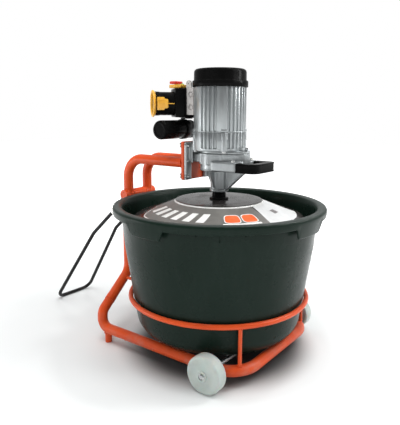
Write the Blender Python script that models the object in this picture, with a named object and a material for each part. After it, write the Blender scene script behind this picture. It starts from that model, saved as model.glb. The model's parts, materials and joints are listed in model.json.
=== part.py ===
"""Wheeled tub mixer for mortar: tub in a tube cradle, tilting drive head and paddle.

Lengths are millimetres until a mesh is made, where MM turns them into metres.
Every shape is drawn with the tub's axis at x = 0 and the floor at z = 0. The front
of the machine is +X and the hinge of the head is at -X. TUB_X then shifts the
whole machine so that its bounding box is centred on the origin.
"""

import math

import bmesh
import bpy
from mathutils import Matrix, Vector

MM = 0.001
GAP = 0.3

# Tub
TUB_BOTTOM = 58.0
TUB_TOP = 429.0
TUB_WALL = 4.0
TUB_FLAT_R = 184.0
TUB_CORNER_R = 55.0
WALL_START_Z = 106.0
WALL_MIDDLE = (264.9, 285.0)
WALL_TOP_R = 276.5
SKIRT_LEAN = 4.0
RIM_R = 301.0
RIM_DEPTH = 24.0
GRIP_ANGLE = 24.0
GRIP_TURN = -4.0
GRIP_BOTTOM = 378.0

# Chassis
TUBE_R = 15.0
BASE_Z = 42.4
BASE_Y = 200.0
BASE_FRONT = 203.0
BASE_REAR = -285.0
BASE_CORNER_R = 80.0
UPRIGHT_Y = 52.0
FOOT_X = -262.0
FOOT_R = 10.0
RING_R = 256.0
RING_Z = 163.0
RING_ROD_R = 7.0
POST_ANGLE = 42.6
POST_R = 5.0
WHEEL_X = 136.0
WHEEL_R = 50.0
WHEEL_INNER_Y = 226.0
WHEEL_WIDTH = 35.0
AXLE_R = 6.0

# Head hinge and the rear handle
HINGE_X = -318.0
HINGE_Z = 427.0
PIN_R = 6.0
KNUCKLE_HALF = 23.5
SLEEVE_END = 66.3
HANDLE_X = -358.0
HANDLE_Z = 385.0
HANDLE_ROD_R = 6.0
HANDLE_BEND = (-483.0, 275.0)
HANDLE_END = (-672.0, 6.3)
HANDLE_HALF_TOP = 52.0
HANDLE_HALF_END = 78.0

# Head arms
ARM_Y = 42.7
ARM_Z = 541.0
ARM_BEND_R = 60.0
PLATE_X = (-94.0, -83.0)
PLATE_HALF_Y = 57.0
PLATE_Z = (492.0, 601.0)
PLATE_BOLT_Y = 50.0
PLATE_BOLT_Z = (503.0, 590.0)

# Gearbox
GEARBOX_Z = (523.0, 571.7)
GEARBOX_R = 54.0
LOBE_X = 68.0
LOBE_R = 27.0
NECK_R = 24.0
NECK_BOTTOM = 462.0
COVER_Z = (572.0, 578.0)
GEAR_MODULE = 2.0
PINION_TEETH = 10
WHEEL_TEETH = 32
SHAFT_SPACING = GEAR_MODULE * (PINION_TEETH + WHEEL_TEETH) / 2
OUTPUT_SHAFT_R = 12.5
BEARING_R = 18.0

# Motor
MOTOR_R = 72.3
VALLEY_R = 67.5
RIB_PITCH = 10.3
RIB_GROUPS = ((0, 7), (81, 3), (-81, 3))
SHIELD_Z = (578.3, 629.4)
STATOR_Z = (629.7, 750.0)
COWL_Z = (748.5, 797.0)
COWL_R = 72.0
COWL_LIP_R = 76.4
BOLT_CIRCLE_R = 68.0
MOTOR_SHAFT_R = 8.0

# Switch gear
BOX_X = (-135.0, -81.0)
BOX_HALF_Y = 45.0
BOX_Z = (666.0, 748.0)
TERMINAL_Z = (674.0, 747.5)
CAPACITOR_R = 26.5
CAPACITOR_Y = (-105.0, 38.0)
CAPACITOR_X = -131.0
CAPACITOR_Z = 633.0
INLET_ANGLE = -130.0
INLET_Z = 705.0
INLET_R = 33.4
INLET_REACH = 87.0
INLET_BASE = (-112.0, -26.0, INLET_Z)
INLET_HOUSING = (-1.0, 26.0)
INLET_HOUSING_HALF = 36.0

# Front handle
GRIP_X = 152.0
GRIP_HALF_Y = 58.0
GRIP_Z = (525.5, 550.5)
GRIP_DEPTH = 22.0
GRIP_START = 90.3

# Lid and mixing tool
LID_R = 240.0
LID_FLAT_R = 124.0
LID_TOP = 440.0
LID_EDGE = 392.0
LID_SKIN = 3.0
SHAFT_END = 326.0
TOOL_BOTTOM = 88.0
TOOL_R = 134.0

REAR_EXTENT = HANDLE_END[0] - HANDLE_ROD_R
TUB_X = -(REAR_EXTENT + RIM_R) / 2

COLOURS = {
    "orange_paint": ((0.72, 0.09, 0.02), 0.35, 0.0),
    "tub_plastic": ((0.020, 0.030, 0.024), 0.45, 0.0),
    "black_paint": ((0.012, 0.012, 0.013), 0.4, 0.0),
    "black_plastic": ((0.010, 0.010, 0.011), 0.3, 0.0),
    "cast_aluminium": ((0.50, 0.52, 0.52), 0.45, 0.9),
    "zinc": ((0.55, 0.57, 0.58), 0.4, 0.9),
    "steel": ((0.42, 0.42, 0.43), 0.35, 1.0),
    "nylon": ((0.72, 0.75, 0.72), 0.4, 0.0),
    "yellow_plastic": ((0.85, 0.50, 0.06), 0.35, 0.0),
    "red_plastic": ((0.65, 0.03, 0.02), 0.35, 0.0),
    "green_plastic": ((0.05, 0.40, 0.08), 0.35, 0.0),
    "grey_plastic": ((0.55, 0.55, 0.54), 0.5, 0.0),
    "lid_plastic": ((0.05, 0.05, 0.05), 0.25, 0.0),
    "copper": ((0.50, 0.20, 0.08), 0.4, 0.9),
}


def clear_scene():
    for obj in list(bpy.data.objects):
        bpy.data.objects.remove(obj, do_unlink=True)


def finish_material(name):
    found = bpy.data.materials.get(name)
    if found:
        return found
    colour, roughness, metallic = COLOURS[name]
    material = bpy.data.materials.new(name)
    material.use_nodes = True
    shader = material.node_tree.nodes["Principled BSDF"]
    shader.inputs["Base Color"].default_value = (*colour, 1.0)
    shader.inputs["Roughness"].default_value = roughness
    shader.inputs["Metallic"].default_value = metallic
    return material


def place(name, bm, material, origin=(0.0, 0.0, 0.0)):
    """Make the named object, with its own origin at a point of the machine."""
    bmesh.ops.remove_doubles(bm, verts=bm.verts, dist=0.002)
    bmesh.ops.recalc_face_normals(bm, faces=bm.faces)
    shift = Matrix.Translation(-Vector(origin))
    bmesh.ops.transform(bm, matrix=Matrix.Scale(MM, 4) @ shift, verts=bm.verts)
    mesh = bpy.data.meshes.new(name)
    bm.to_mesh(mesh)
    bm.free()
    obj = bpy.data.objects.new(name, mesh)
    obj.location = (Vector(origin) + Vector((TUB_X, 0.0, 0.0))) * MM
    bpy.context.scene.collection.objects.link(obj)
    mesh.materials.append(finish_material(material))
    smooth(mesh)
    return obj


def smooth(mesh):
    mesh.shade_smooth()
    mesh.set_sharp_from_angle(angle=math.radians(32))


def apply_boolean(obj, tool, operation):
    """Join a tool to an object or cut it away, and drop the tool."""
    bpy.context.view_layer.update()
    modifier = obj.modifiers.new(operation.lower(), "BOOLEAN")
    modifier.operation = operation
    modifier.solver = "EXACT"
    modifier.object = tool
    graph = bpy.context.evaluated_depsgraph_get()
    material = obj.data.materials[0]
    mesh = bpy.data.meshes.new_from_object(obj.evaluated_get(graph))
    obj.modifiers.clear()
    old = obj.data
    obj.data = mesh
    bpy.data.meshes.remove(old)
    mesh.name = obj.name
    mesh.materials.clear()
    mesh.materials.append(material)
    smooth(mesh)
    bpy.data.objects.remove(tool, do_unlink=True)


def join(obj, *shapes):
    for bm in shapes:
        apply_boolean(obj, place("tool", bm, "steel"), "UNION")


def cut(obj, *shapes):
    for bm in shapes:
        apply_boolean(obj, place("tool", bm, "steel"), "DIFFERENCE")


def lathe(profile, steps=32, closed=True):
    """Spin (radius, height) points about Z. An open profile starts and ends at radius 0."""
    bm = bmesh.new()
    verts = [bm.verts.new((radius, 0.0, height)) for radius, height in profile]
    pairs = list(zip(verts, verts[1:]))
    if closed:
        pairs.append((verts[-1], verts[0]))
    edges = [bm.edges.new(pair) for pair in pairs]
    bmesh.ops.spin(bm, geom=verts + edges, cent=(0, 0, 0), axis=(0, 0, 1),
                   angle=math.tau, steps=steps, use_merge=True)
    bmesh.ops.remove_doubles(bm, verts=bm.verts, dist=0.001)
    return bm


def disc(radius, low, high, steps=16):
    return lathe([(0, low), (radius, low), (radius, high), (0, high)], steps, closed=False)


def washer(inner, outer, low, high, steps=24):
    return lathe([(inner, low), (outer, low), (outer, high), (inner, high)], steps)


def moved(bm, x=0.0, y=0.0, z=0.0):
    bmesh.ops.translate(bm, verts=bm.verts, vec=(x, y, z))
    return bm


def turned(bm, axis, degrees):
    bmesh.ops.rotate(bm, verts=bm.verts, cent=(0, 0, 0),
                     matrix=Matrix.Rotation(math.radians(degrees), 3, axis))
    return bm


def along_y(bm):
    """Lay a shape made about Z along Y, its top towards +Y."""
    return turned(bm, "X", -90)


def along_x(bm):
    """Lay a shape made about Z along X, its top towards +X."""
    return turned(bm, "Y", 90)


def prism(outline, low, high):
    """Extrude a flat outline of (x, y) points upwards."""
    bm = bmesh.new()
    face = bm.faces.new([bm.verts.new((x, y, low)) for x, y in outline])
    made = bmesh.ops.extrude_face_region(bm, geom=[face])["geom"]
    top = [item for item in made if isinstance(item, bmesh.types.BMVert)]
    bmesh.ops.translate(bm, verts=top, vec=(0, 0, high - low))
    return bm


def block(x, y, z, bevel=0.0, segments=2):
    """A box from (low, high) pairs, its edges rounded by bevel."""
    bm = bmesh.new()
    size = Vector((x[1] - x[0], y[1] - y[0], z[1] - z[0]))
    centre = Vector((sum(x), sum(y), sum(z))) / 2
    matrix = Matrix.Translation(centre) @ Matrix.Diagonal((*size, 1.0))
    bmesh.ops.create_cube(bm, size=1.0, matrix=matrix)
    if bevel:
        bmesh.ops.bevel(bm, geom=list(bm.edges), offset=bevel, segments=segments,
                        profile=0.5, affect="EDGES")
    return bm


def arc(centre, radius, start, end, steps):
    """Points along an arc, in the plane of the two coordinates given."""
    turn = [math.radians(start + (end - start) * i / steps) for i in range(steps + 1)]
    return [(centre[0] + radius * math.cos(a), centre[1] + radius * math.sin(a)) for a in turn]


def polar(radius, degrees):
    angle = math.radians(degrees)
    return radius * math.cos(angle), radius * math.sin(angle)


def rounded_path(corners, radii, steps=4):
    """Replace each inner corner of a polyline by an arc of its own radius."""
    corners = [Vector(point) for point in corners]
    path = [corners[0]]
    for index in range(1, len(corners) - 1):
        before = (corners[index - 1] - corners[index]).normalized()
        after = (corners[index + 1] - corners[index]).normalized()
        half = before.angle(after) / 2
        bisector = (before + after).normalized()
        radius = radii[index - 1]
        centre = corners[index] + bisector * (radius / math.sin(half))
        first = corners[index] + before * (radius / math.tan(half))
        last = corners[index] + after * (radius / math.tan(half))
        start = first - centre
        finish = last - centre
        sweep = start.angle(finish)
        normal = start.cross(finish).normalized()
        for step in range(steps + 1):
            turn = Matrix.Rotation(sweep * step / steps, 3, normal)
            path.append(centre + turn @ start)
    path.append(corners[-1])
    return path


def rod(path, radius, sides=12):
    """Sweep a circle along a path of points, with flat closed ends."""
    bm = bmesh.new()
    path = [Vector(point) for point in path]
    tangent = (path[1] - path[0]).normalized()
    side = tangent.orthogonal().normalized()
    rings = []
    for index, point in enumerate(path):
        back = (point - path[index - 1]).normalized() if index else tangent
        ahead = (path[index + 1] - point).normalized() if index + 1 < len(path) else back
        middle = (back + ahead).normalized()
        side = (side - middle * side.dot(middle)).normalized()
        other = middle.cross(side)
        stretch = 1.0 / max(0.5, back.dot(middle))
        bend = (ahead - back)
        bend = bend.normalized() if bend.length > 1e-6 else Vector((0, 0, 0))
        ring = []
        for turn in range(sides):
            angle = math.tau * turn / sides
            offset = (side * math.cos(angle) + other * math.sin(angle)) * radius
            offset += bend * bend.dot(offset) * (stretch - 1.0)
            ring.append(bm.verts.new(point + offset))
        rings.append(ring)
    for first, second in zip(rings, rings[1:]):
        for turn in range(sides):
            following = (turn + 1) % sides
            bm.faces.new((first[turn], first[following], second[following], second[turn]))
    bm.faces.new(rings[0])
    bm.faces.new(rings[-1])
    return bm


def hull_outline(first_r, second_x, second_r, steps=6):
    """Outline around a circle at 0 and a smaller one at second_x, joined by tangents."""
    lean = math.degrees(math.asin((first_r - second_r) / second_x))
    right = arc((second_x, 0), second_r, -(90 - lean), 90 - lean, steps)
    left = arc((0, 0), first_r, 90 - lean, 270 + lean, 2 * steps)
    return right + left


def gear(teeth, low, high, bore=0.0, turn=0.0):
    """A spur gear with straight-sided teeth, a tooth on +X when turn is 0."""
    pitch_r = GEAR_MODULE * teeth / 2
    root = pitch_r - 1.25 * GEAR_MODULE
    tip = pitch_r + 0.85 * GEAR_MODULE
    half_pitch = 180.0 / teeth
    outline = []
    for tooth in range(teeth):
        centre = turn + tooth * 2 * half_pitch
        for radius, share in ((root, -0.60), (tip, -0.20), (tip, 0.20), (root, 0.60)):
            outline.append(polar(radius, centre + share * half_pitch))
    return prism(outline, low, high)


def bolt(head_r, head_h, shank_r, length, sides=6):
    """A bolt along Z: its head is above z = 0 and its shank below."""
    head = lathe([(0, -length), (shank_r, -length), (shank_r, 0), (head_r, 0),
                  (head_r, head_h * 0.8), (head_r * 0.86, head_h), (0, head_h)],
                 sides * 2, closed=False)
    return head


# --- Chassis -----------------------------------------------------------------

def slant_points(side):
    """Where the side tube turns up, and where the slanted tube turns into the upright."""
    low = Vector((BASE_REAR, side * BASE_Y, 92.0))
    high = Vector((HINGE_X, side * UPRIGHT_Y, 178.0))
    joint = low.lerp(high, 0.24)
    return low, high, joint


def make_base_frame():
    left_low, _, left_joint = slant_points(-1)
    right_low, _, right_joint = slant_points(1)
    corners = [left_joint, left_low, (BASE_REAR, -BASE_Y, BASE_Z), (BASE_FRONT, -BASE_Y, BASE_Z),
               (BASE_FRONT, BASE_Y, BASE_Z), (BASE_REAR, BASE_Y, BASE_Z), right_low, right_joint]
    radii = (26.0, 28.0, BASE_CORNER_R, BASE_CORNER_R, 28.0, 26.0)
    frame = place("base_frame", rod(rounded_path(corners, radii), TUBE_R), "orange_paint")
    for side in (-1, 1):
        join(frame, moved(disc(FOOT_R, 0, BASE_Z - 4, 16), FOOT_X, side * BASE_Y))
    cut(frame, moved(along_y(disc(AXLE_R + GAP, -BASE_Y - 40, BASE_Y + 40, 16)),
                     WHEEL_X, 0, WHEEL_R))
    return frame


def make_cradle_ring():
    ring = lathe(arc((RING_R, RING_Z), RING_ROD_R, 0, 315, 7), 48)
    cradle = place("cradle_ring", ring, "orange_paint")
    post_x, post_y = polar(RING_R, POST_ANGLE)
    for side in (-1, 1):
        low = (post_x, side * post_y, BASE_Z + TUBE_R + GAP)
        join(cradle, rod([low, (post_x, side * post_y, RING_Z)], POST_R, 10))
    return cradle


def make_upright(name, side):
    low, high, joint = slant_points(side)
    start = joint + (high - low).normalized() * GAP
    top = (HINGE_X, side * UPRIGHT_Y, HINGE_Z - TUBE_R - 1.0)
    path = rounded_path([start, high, top], (45.0,))
    upright = place(name, rod(path, TUBE_R), "orange_paint")
    reach = low.lerp(high, 0.80)
    ring_edge = RING_R + RING_ROD_R
    inner = math.sqrt(ring_edge ** 2 - (abs(reach.y) - POST_R) ** 2) + GAP
    join(upright, rod([(-inner, reach.y, RING_Z), (reach.x, reach.y, RING_Z)], POST_R, 10))
    return upright


def make_hinge_crossbar():
    inner = UPRIGHT_Y - TUBE_R - GAP
    bar = moved(along_y(disc(12.0, -inner, inner, 20)), HINGE_X, 0, HINGE_Z - 35)
    crossbar = place("hinge_crossbar", bar, "orange_paint")
    knuckle = moved(along_y(disc(TUBE_R, -KNUCKLE_HALF, KNUCKLE_HALF, 24)), HINGE_X, 0, HINGE_Z)
    web = block((HINGE_X - 5, HINGE_X + 5), (-20, 20), (HINGE_Z - 33, HINGE_Z - 6))
    join(crossbar, knuckle, web)
    cut(crossbar, moved(along_y(disc(PIN_R + GAP, -90, 90, 16)), HINGE_X, 0, HINGE_Z))
    return crossbar


def make_hinge_pin():
    half = SLEEVE_END - 3.3
    pin = moved(along_y(disc(PIN_R, -half, half, 16)), HINGE_X, 0, HINGE_Z)
    return place("hinge_pin", pin, "zinc")


def make_rear_bracket():
    """A channel behind the uprights that carries the two pivots of the rear handle."""
    front = HINGE_X - TUBE_R - 2 * GAP
    rear = HANDLE_X - 30.0
    outer = HANDLE_HALF_TOP + 10.5
    low = HANDLE_Z - 36.0
    high = HANDLE_Z + 30.0
    bracket = place("rear_bracket", block((rear, front), (-outer, outer), (low, high)), "zinc")
    cut(bracket, block((rear - 5, front - 4), (4 - outer, outer - 4), (low - 5, high + 5)))
    for height, lean in ((low, 38), (high, -32)):
        wedge = block((-40, 40), (-90, 90), (-14, 14))
        cut(bracket, moved(turned(wedge, "Y", lean), rear, 0, height))
    cut(bracket, moved(along_y(disc(4.0 + GAP, -90, 90, 12)), HANDLE_X, 0, HANDLE_Z))
    return bracket


def make_wheel_axle():
    half = WHEEL_INNER_Y + WHEEL_WIDTH + 6
    axle = moved(along_y(disc(AXLE_R, -half, half, 16)), WHEEL_X, 0, WHEEL_R)
    return place("wheel_axle", axle, "zinc")


def make_axle_cap(name, side):
    outer = WHEEL_INNER_Y + WHEEL_WIDTH
    profile = [(AXLE_R + GAP, outer + 3.4), (9.0, outer + 3.4), (9.0, outer + 5.5),
               (AXLE_R + GAP, outer + 7.0)]
    cap = along_y(lathe(profile, 16))
    if side < 0:
        turned(cap, "Z", 180)
    return place(name, moved(cap, WHEEL_X, 0, WHEEL_R), "zinc")


def make_wheel(name, side):
    """Moulded wheel: tread, dished face and a stepped hub on both sides."""
    half = WHEEL_WIDTH / 2
    bore = AXLE_R + GAP
    middle = WHEEL_INNER_Y + half
    outer_half = [(bore, half + 3.0), (10.5, half + 3.0), (12.0, half + 1.5), (17.0, half - 0.5),
                  (20.0, half - 3.5), (37.0, half - 3.5), (40.5, half - 0.5),
                  (46.0, half - 0.5), (WHEEL_R, half - 4.5)]
    inner_half = [(WHEEL_R, 4.5 - half), (46.0, 0.5 - half), (17.0, 0.5 - half), (bore, 0.0 - half)]
    wheel = along_y(lathe(outer_half + inner_half, 28))
    if side < 0:
        turned(wheel, "Z", 180)
    moved(wheel, WHEEL_X, side * middle, WHEEL_R)
    return place(name, wheel, "nylon", (WHEEL_X, side * middle, WHEEL_R))


# --- Tub -----------------------------------------------------------------------

def tub_profile():
    """Outside from the middle of the bottom up to the rim, then back down the inside."""
    corner = (TUB_FLAT_R, TUB_BOTTOM + TUB_CORNER_R)
    lean = math.degrees(math.asin((corner[1] - WALL_START_Z) / TUB_CORNER_R))
    outer_arc = arc(corner, TUB_CORNER_R, -90, -lean, 5) + [WALL_MIDDLE]
    inner_arc = arc(corner, TUB_CORNER_R - TUB_WALL, -lean, -90, 3)
    skirt = TUB_TOP - RIM_DEPTH
    wall = WALL_TOP_R
    rim = [(wall, skirt), (wall + 3, TUB_TOP - 8), (RIM_R - 4.5, TUB_TOP - 8),
           (RIM_R - 4.5, skirt), (RIM_R, skirt)]
    roll = arc((RIM_R - 9, TUB_TOP - 9), 9, 0, 90, 2)
    lip = [(wall + 6, TUB_TOP), (wall, TUB_TOP - 2.5), (wall - 2.5, TUB_TOP - 8)]
    inside = [(wall - TUB_WALL, skirt), (WALL_MIDDLE[0] - TUB_WALL, WALL_MIDDLE[1])]
    return ([(0, TUB_BOTTOM)] + outer_arc + rim + roll + lip + inside + inner_arc
            + [(0, TUB_BOTTOM + TUB_WALL)])


def sector(inner, outer, half_angle, low, high, middle):
    outline = (arc((0, 0), outer, middle - half_angle, middle + half_angle, 3)
               + arc((0, 0), inner, middle + half_angle, middle - half_angle, 3))
    return prism(outline, low, high)


def make_tub():
    tub = place("tub", lathe(tub_profile(), 48, closed=False), "tub_plastic")
    skirt = TUB_TOP - RIM_DEPTH
    for quarter in range(4):
        middle = GRIP_TURN + 90 * quarter
        inner = WALL_TOP_R - TUB_WALL / 2
        grip = sector(inner, RIM_R - 1.5, GRIP_ANGLE / 2, GRIP_BOTTOM, skirt + 4, middle)
        for vert in grip.verts:
            reach = math.hypot(vert.co.x, vert.co.y)
            shift = SKIRT_LEAN if reach > inner + 1 else SKIRT_LEAN / 2
            if vert.co.z < skirt:
                vert.co.x *= (reach - shift) / reach
                vert.co.y *= (reach - shift) / reach
        join(tub, grip)
        cut(tub, sector(281.0, RIM_R - 10.5, GRIP_ANGLE / 2 - 1.2, GRIP_BOTTOM - 9, skirt + 8,
                        middle))
    return tub


# --- Rear handle ------------------------------------------------------------------

def make_rear_handle():
    start = Vector((HANDLE_X, 0, HANDLE_Z))
    bend = Vector((HANDLE_BEND[0], 0, HANDLE_BEND[1]))
    end = Vector((HANDLE_END[0], 0, HANDLE_END[1]))
    near = Vector((0, HANDLE_HALF_TOP, 0))
    wide = Vector((0, HANDLE_HALF_END, 0))
    corners = [start - near, bend - near, end - wide, end + wide, bend + near, start + near]
    path = rounded_path(corners, (50.0, 30.0, 30.0, 50.0))
    handle = place("rear_handle", rod(path, HANDLE_ROD_R, 10), "black_paint",
                   (HANDLE_X, 0, HANDLE_Z))
    for side in (-1, 1):
        middle = side * HANDLE_HALF_TOP
        join(handle, moved(along_y(disc(11.0, -5.5, 5.5, 16)), HANDLE_X, middle, HANDLE_Z))
    cut(handle, moved(along_y(disc(4.0 + GAP, -90, 90, 12)), HANDLE_X, 0, HANDLE_Z))
    return handle


def make_handle_pivot(name, side):
    """Shoulder bolt with its nut, through the bracket and the eye of one leg."""
    plate = HANDLE_HALF_TOP + 10.5 + GAP
    profile = [(0, 39.5), (6.5, 39.5), (6.5, 45.5), (4.0, 45.5), (4.0, plate), (8.0, plate),
               (8.0, plate + 3.5), (6.0, plate + 5.0), (0, plate + 5.0)]
    pivot = along_y(lathe(profile, 12, closed=False))
    if side < 0:
        turned(pivot, "Z", 180)
    return place(name, moved(pivot, HANDLE_X, 0, HANDLE_Z), "zinc")


# --- Head arms ---------------------------------------------------------------------

def make_arm(name, side):
    middle = side * ARM_Y
    corners = [(HINGE_X, middle, HINGE_Z), (HINGE_X, middle, ARM_Z),
               (PLATE_X[0] - GAP, middle, ARM_Z)]
    arm = place(name, rod(rounded_path(corners, (ARM_BEND_R,), 6), TUBE_R), "orange_paint",
                (HINGE_X, 0, HINGE_Z))
    inner = KNUCKLE_HALF + GAP
    sleeve = along_y(disc(TUBE_R + 0.4, inner, SLEEVE_END, 16))
    bore = along_y(disc(PIN_R + GAP, inner - 5, SLEEVE_END - 2.5, 16))
    for bm in (sleeve, bore):
        if side < 0:
            turned(bm, "Z", 180)
        moved(bm, HINGE_X, 0, HINGE_Z)
    join(arm, sleeve)
    cut(arm, bore)
    return arm


def plate_bolt_places():
    return [(side * PLATE_BOLT_Y, height) for height in PLATE_BOLT_Z for side in (-1, 1)]


def make_arm_plate():
    span = (-PLATE_HALF_Y, PLATE_HALF_Y)
    plate = place("arm_plate", block(PLATE_X, span, PLATE_Z, 2.0, 1), "orange_paint")
    for y, z in plate_bolt_places():
        cut(plate, moved(along_x(disc(4.0 + GAP, -20, 20, 12)), PLATE_X[0], y, z))
    return plate


def make_flange_bolt(name, y, z):
    """Cap screw through the gearbox flange and the plate, with its nut behind."""
    head = PLATE_X[1] + 9.3 + GAP
    rear = PLATE_X[0] - GAP
    profile = [(0, rear - 9), (4.0, rear - 9), (4.0, rear - 6.5), (7.5, rear - 6.5), (7.5, rear),
               (4.0, rear), (4.0, head), (5.6, head), (5.6, head + 7.0), (4.8, head + 8.0),
               (0, head + 8.0)]
    return place(name, moved(along_x(lathe(profile, 12, closed=False)), 0, y, z), "zinc")


# --- Gearbox -----------------------------------------------------------------------

def web_plate(points, thickness, degrees):
    """A flat triangular rib drawn as (radius, height) points, standing out at an angle."""
    rib = prism(points, -thickness / 2, thickness / 2)
    turned(rib, "X", 90)
    return turned(rib, "Z", degrees)


def make_gearbox_housing():
    low, high = GEARBOX_Z
    flange_x = PLATE_X[1] + GAP
    flange_low = PLATE_Z[0] + 1
    flange_high = PLATE_Z[1] - 1
    front = GRIP_START - GAP
    body = prism(hull_outline(GEARBOX_R, LOBE_X, LOBE_R), low, high)
    housing = place("gearbox_housing", body, "cast_aluminium")
    join(housing, disc(NECK_R, NECK_BOTTOM, low + 5, 20))
    join(housing, web_plate([(20, low + 4), (LOBE_X + 21, low + 4), (LOBE_X + 21, low - 2),
                             (NECK_R - 2, 465), (20, 465)], 7.0, 0))
    for degrees in (90, 180, 270):
        join(housing, web_plate([(20, low + 4), (46, low + 4), (46, low - 2), (NECK_R - 2, 475),
                                 (20, 475)], 6.0, degrees))
    join(housing, block((12, front), (-56, 56), (low + 1.5, low + 28.5), 3.0, 1))
    join(housing, block((flange_x + 2, -20), (-33, 33), (544, 568), 2.0, 1))
    join(housing, block((flange_x, flange_x + 8), (-56, 56), (548, flange_high), 1.2, 1))
    for side in (-1, 1):
        strip = sorted((side * 31.0, side * 56.3))
        join(housing, block((flange_x + 0.7, flange_x + 9), strip, (flange_low, 592), 1.2, 1))
        gusset = sorted((side * 39.0, side * 43.5))
        join(housing, block((flange_x + 4, -62), gusset, (542, flange_high - 3)))
    cut(housing, prism(hull_outline(38.0, SHAFT_SPACING, 35.5), low + 7, high + 5))
    cut(housing, disc(15.0, NECK_BOTTOM - 5, low + 20))
    cut(housing, disc(BEARING_R + GAP, NECK_BOTTOM - 5, NECK_BOTTOM + 15, 20))
    for y, z in plate_bolt_places():
        cut(housing, moved(along_x(disc(4.0 + GAP, -20, 20, 12)), flange_x, y, z))
    for side in (-1, 1):
        pocket = sorted((side * 39.7, side * 52.3))
        cut(housing, block((66, GRIP_START + 5), pocket, (low + 6.7, low + 23.3)))
        cut(housing, moved(disc(3.3, low + 20, low + 40, 12), 76, side * 46.0))
    return housing


def make_gearbox_cover():
    cover = place("gearbox_cover", prism(hull_outline(GEARBOX_R, LOBE_X, LOBE_R), *COVER_Z),
                  "cast_aluminium")
    cut(cover, disc(MOTOR_SHAFT_R + 1, COVER_Z[0] - 5, COVER_Z[1] + 5, 20))
    return cover


def make_oil_plug():
    low = COVER_Z[1] + GAP
    profile = [(0, low), (8.5, low), (8.5, low + 2), (6.5, low + 2), (6.5, low + 8),
               (5.0, low + 9.5), (0, low + 9.5)]
    return place("oil_plug", moved(lathe(profile, 12, closed=False), LOBE_X + 15, 12), "zinc")


def make_layshaft():
    """Intermediate shaft: large wheel above, pinion below."""
    shaft = place("layshaft", moved(disc(6.0, 530.5, 571.3, 12), SHAFT_SPACING), "steel",
                  (SHAFT_SPACING, 0, 550))
    half_pinion = 180.0 / PINION_TEETH
    join(shaft, moved(gear(PINION_TEETH, 532, 549.5, turn=half_pinion), SHAFT_SPACING))
    join(shaft, moved(gear(WHEEL_TEETH, 549, 559, turn=180.0 / WHEEL_TEETH), SHAFT_SPACING))
    return shaft


def make_output_shaft():
    shaft = place("output_shaft", disc(OUTPUT_SHAFT_R, SHAFT_END, 547, 16), "steel")
    join(shaft, gear(WHEEL_TEETH, 532, 546))
    cut(shaft, moved(along_x(disc(3.3, -40, 40, 12)), 0, 0, SHAFT_END + 20))
    return shaft


def make_bearing(name, inner, outer, low, high):
    return place(name, washer(inner, outer, low, high, 20), "steel")


# --- Motor ---------------------------------------------------------------------------

def rib_outline():
    """Motor casing seen from above: groups of ribs between plain pads."""
    notches = []
    for middle, count in RIB_GROUPS:
        for gap in range(count + 1):
            notches.append(middle + (gap - count / 2) * RIB_PITCH)
    outline = []
    angle = 100.0
    while angle < 260.0:
        outline.append(polar(MOTOR_R, angle))
        angle += 8.0
    for notch in sorted(notches):
        for radius, offset in ((MOTOR_R, -2.7), (VALLEY_R, -1.9), (VALLEY_R, 1.9), (MOTOR_R, 2.7)):
            outline.append(polar(radius, notch + offset))
    extra = [polar(MOTOR_R, angle) for angle in (-57, -51, -45, 45, 51, 57)]
    return sorted(outline + extra, key=lambda point: math.atan2(point[1], point[0]))


def bolt_places():
    return [polar(BOLT_CIRCLE_R, 45 + 90 * quarter) for quarter in range(4)]


def make_motor_shield():
    low, high = SHIELD_Z
    shield = place("motor_shield", prism(rib_outline(), low, high), "cast_aluminium")
    for x, y in bolt_places():
        join(shield, moved(disc(8.0, low, high, 12), x, y))
    hollow = [(0, low - 8), (MOTOR_SHAFT_R + 1, low - 8), (MOTOR_SHAFT_R + 1, low + 20),
              (BEARING_R + GAP, low + 20), (BEARING_R + GAP, low + 34), (25, low + 34),
              (25, low + 8), (58, low + 8), (58, high + 8), (0, high + 8)]
    cut(shield, lathe(hollow, 20, closed=False))
    for x, y in bolt_places():
        cut(shield, moved(disc(2.5 + GAP, low - 5, high + 5, 12), x, y))
    return shield


def make_stator_housing():
    low, high = STATOR_Z
    housing = place("stator_housing", prism(rib_outline(), low, high), "cast_aluminium")
    cut(housing, disc(55.0, low - 5, high + 5, 24))
    for x, y in bolt_places():
        cut(housing, moved(disc(2.5 + GAP, low - 5, low + 42, 12), x, y))
    return housing


def make_shield_bolt(name, x, y):
    screw = moved(turned(bolt(4.6, 4.5, 2.5, 75), "X", 180), x, y, SHIELD_Z[0] - GAP)
    return place(name, screw, "zinc")


def make_stator_core():
    low, high = STATOR_Z
    profile = [(33.5, low + 14), (44, low + 8), (50, low + 14), (54.0, low + 20),
               (54.0, high - 20), (50, high - 14), (44, high - 8), (33.5, high - 14)]
    return place("stator_core", lathe(profile, 20), "copper")


def make_upper_shield():
    top = STATOR_Z[1] + GAP
    profile = [(MOTOR_SHAFT_R + 1, top + 12), (MOTOR_SHAFT_R + 1, top + 9.5),
               (BEARING_R + GAP, top + 9.5), (BEARING_R + GAP, top - 5), (25, top - 5),
               (25, top), (66, top), (66, top + 6), (25, top + 6), (25, top + 12)]
    return place("upper_shield", lathe(profile, 20), "cast_aluminium")


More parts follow.
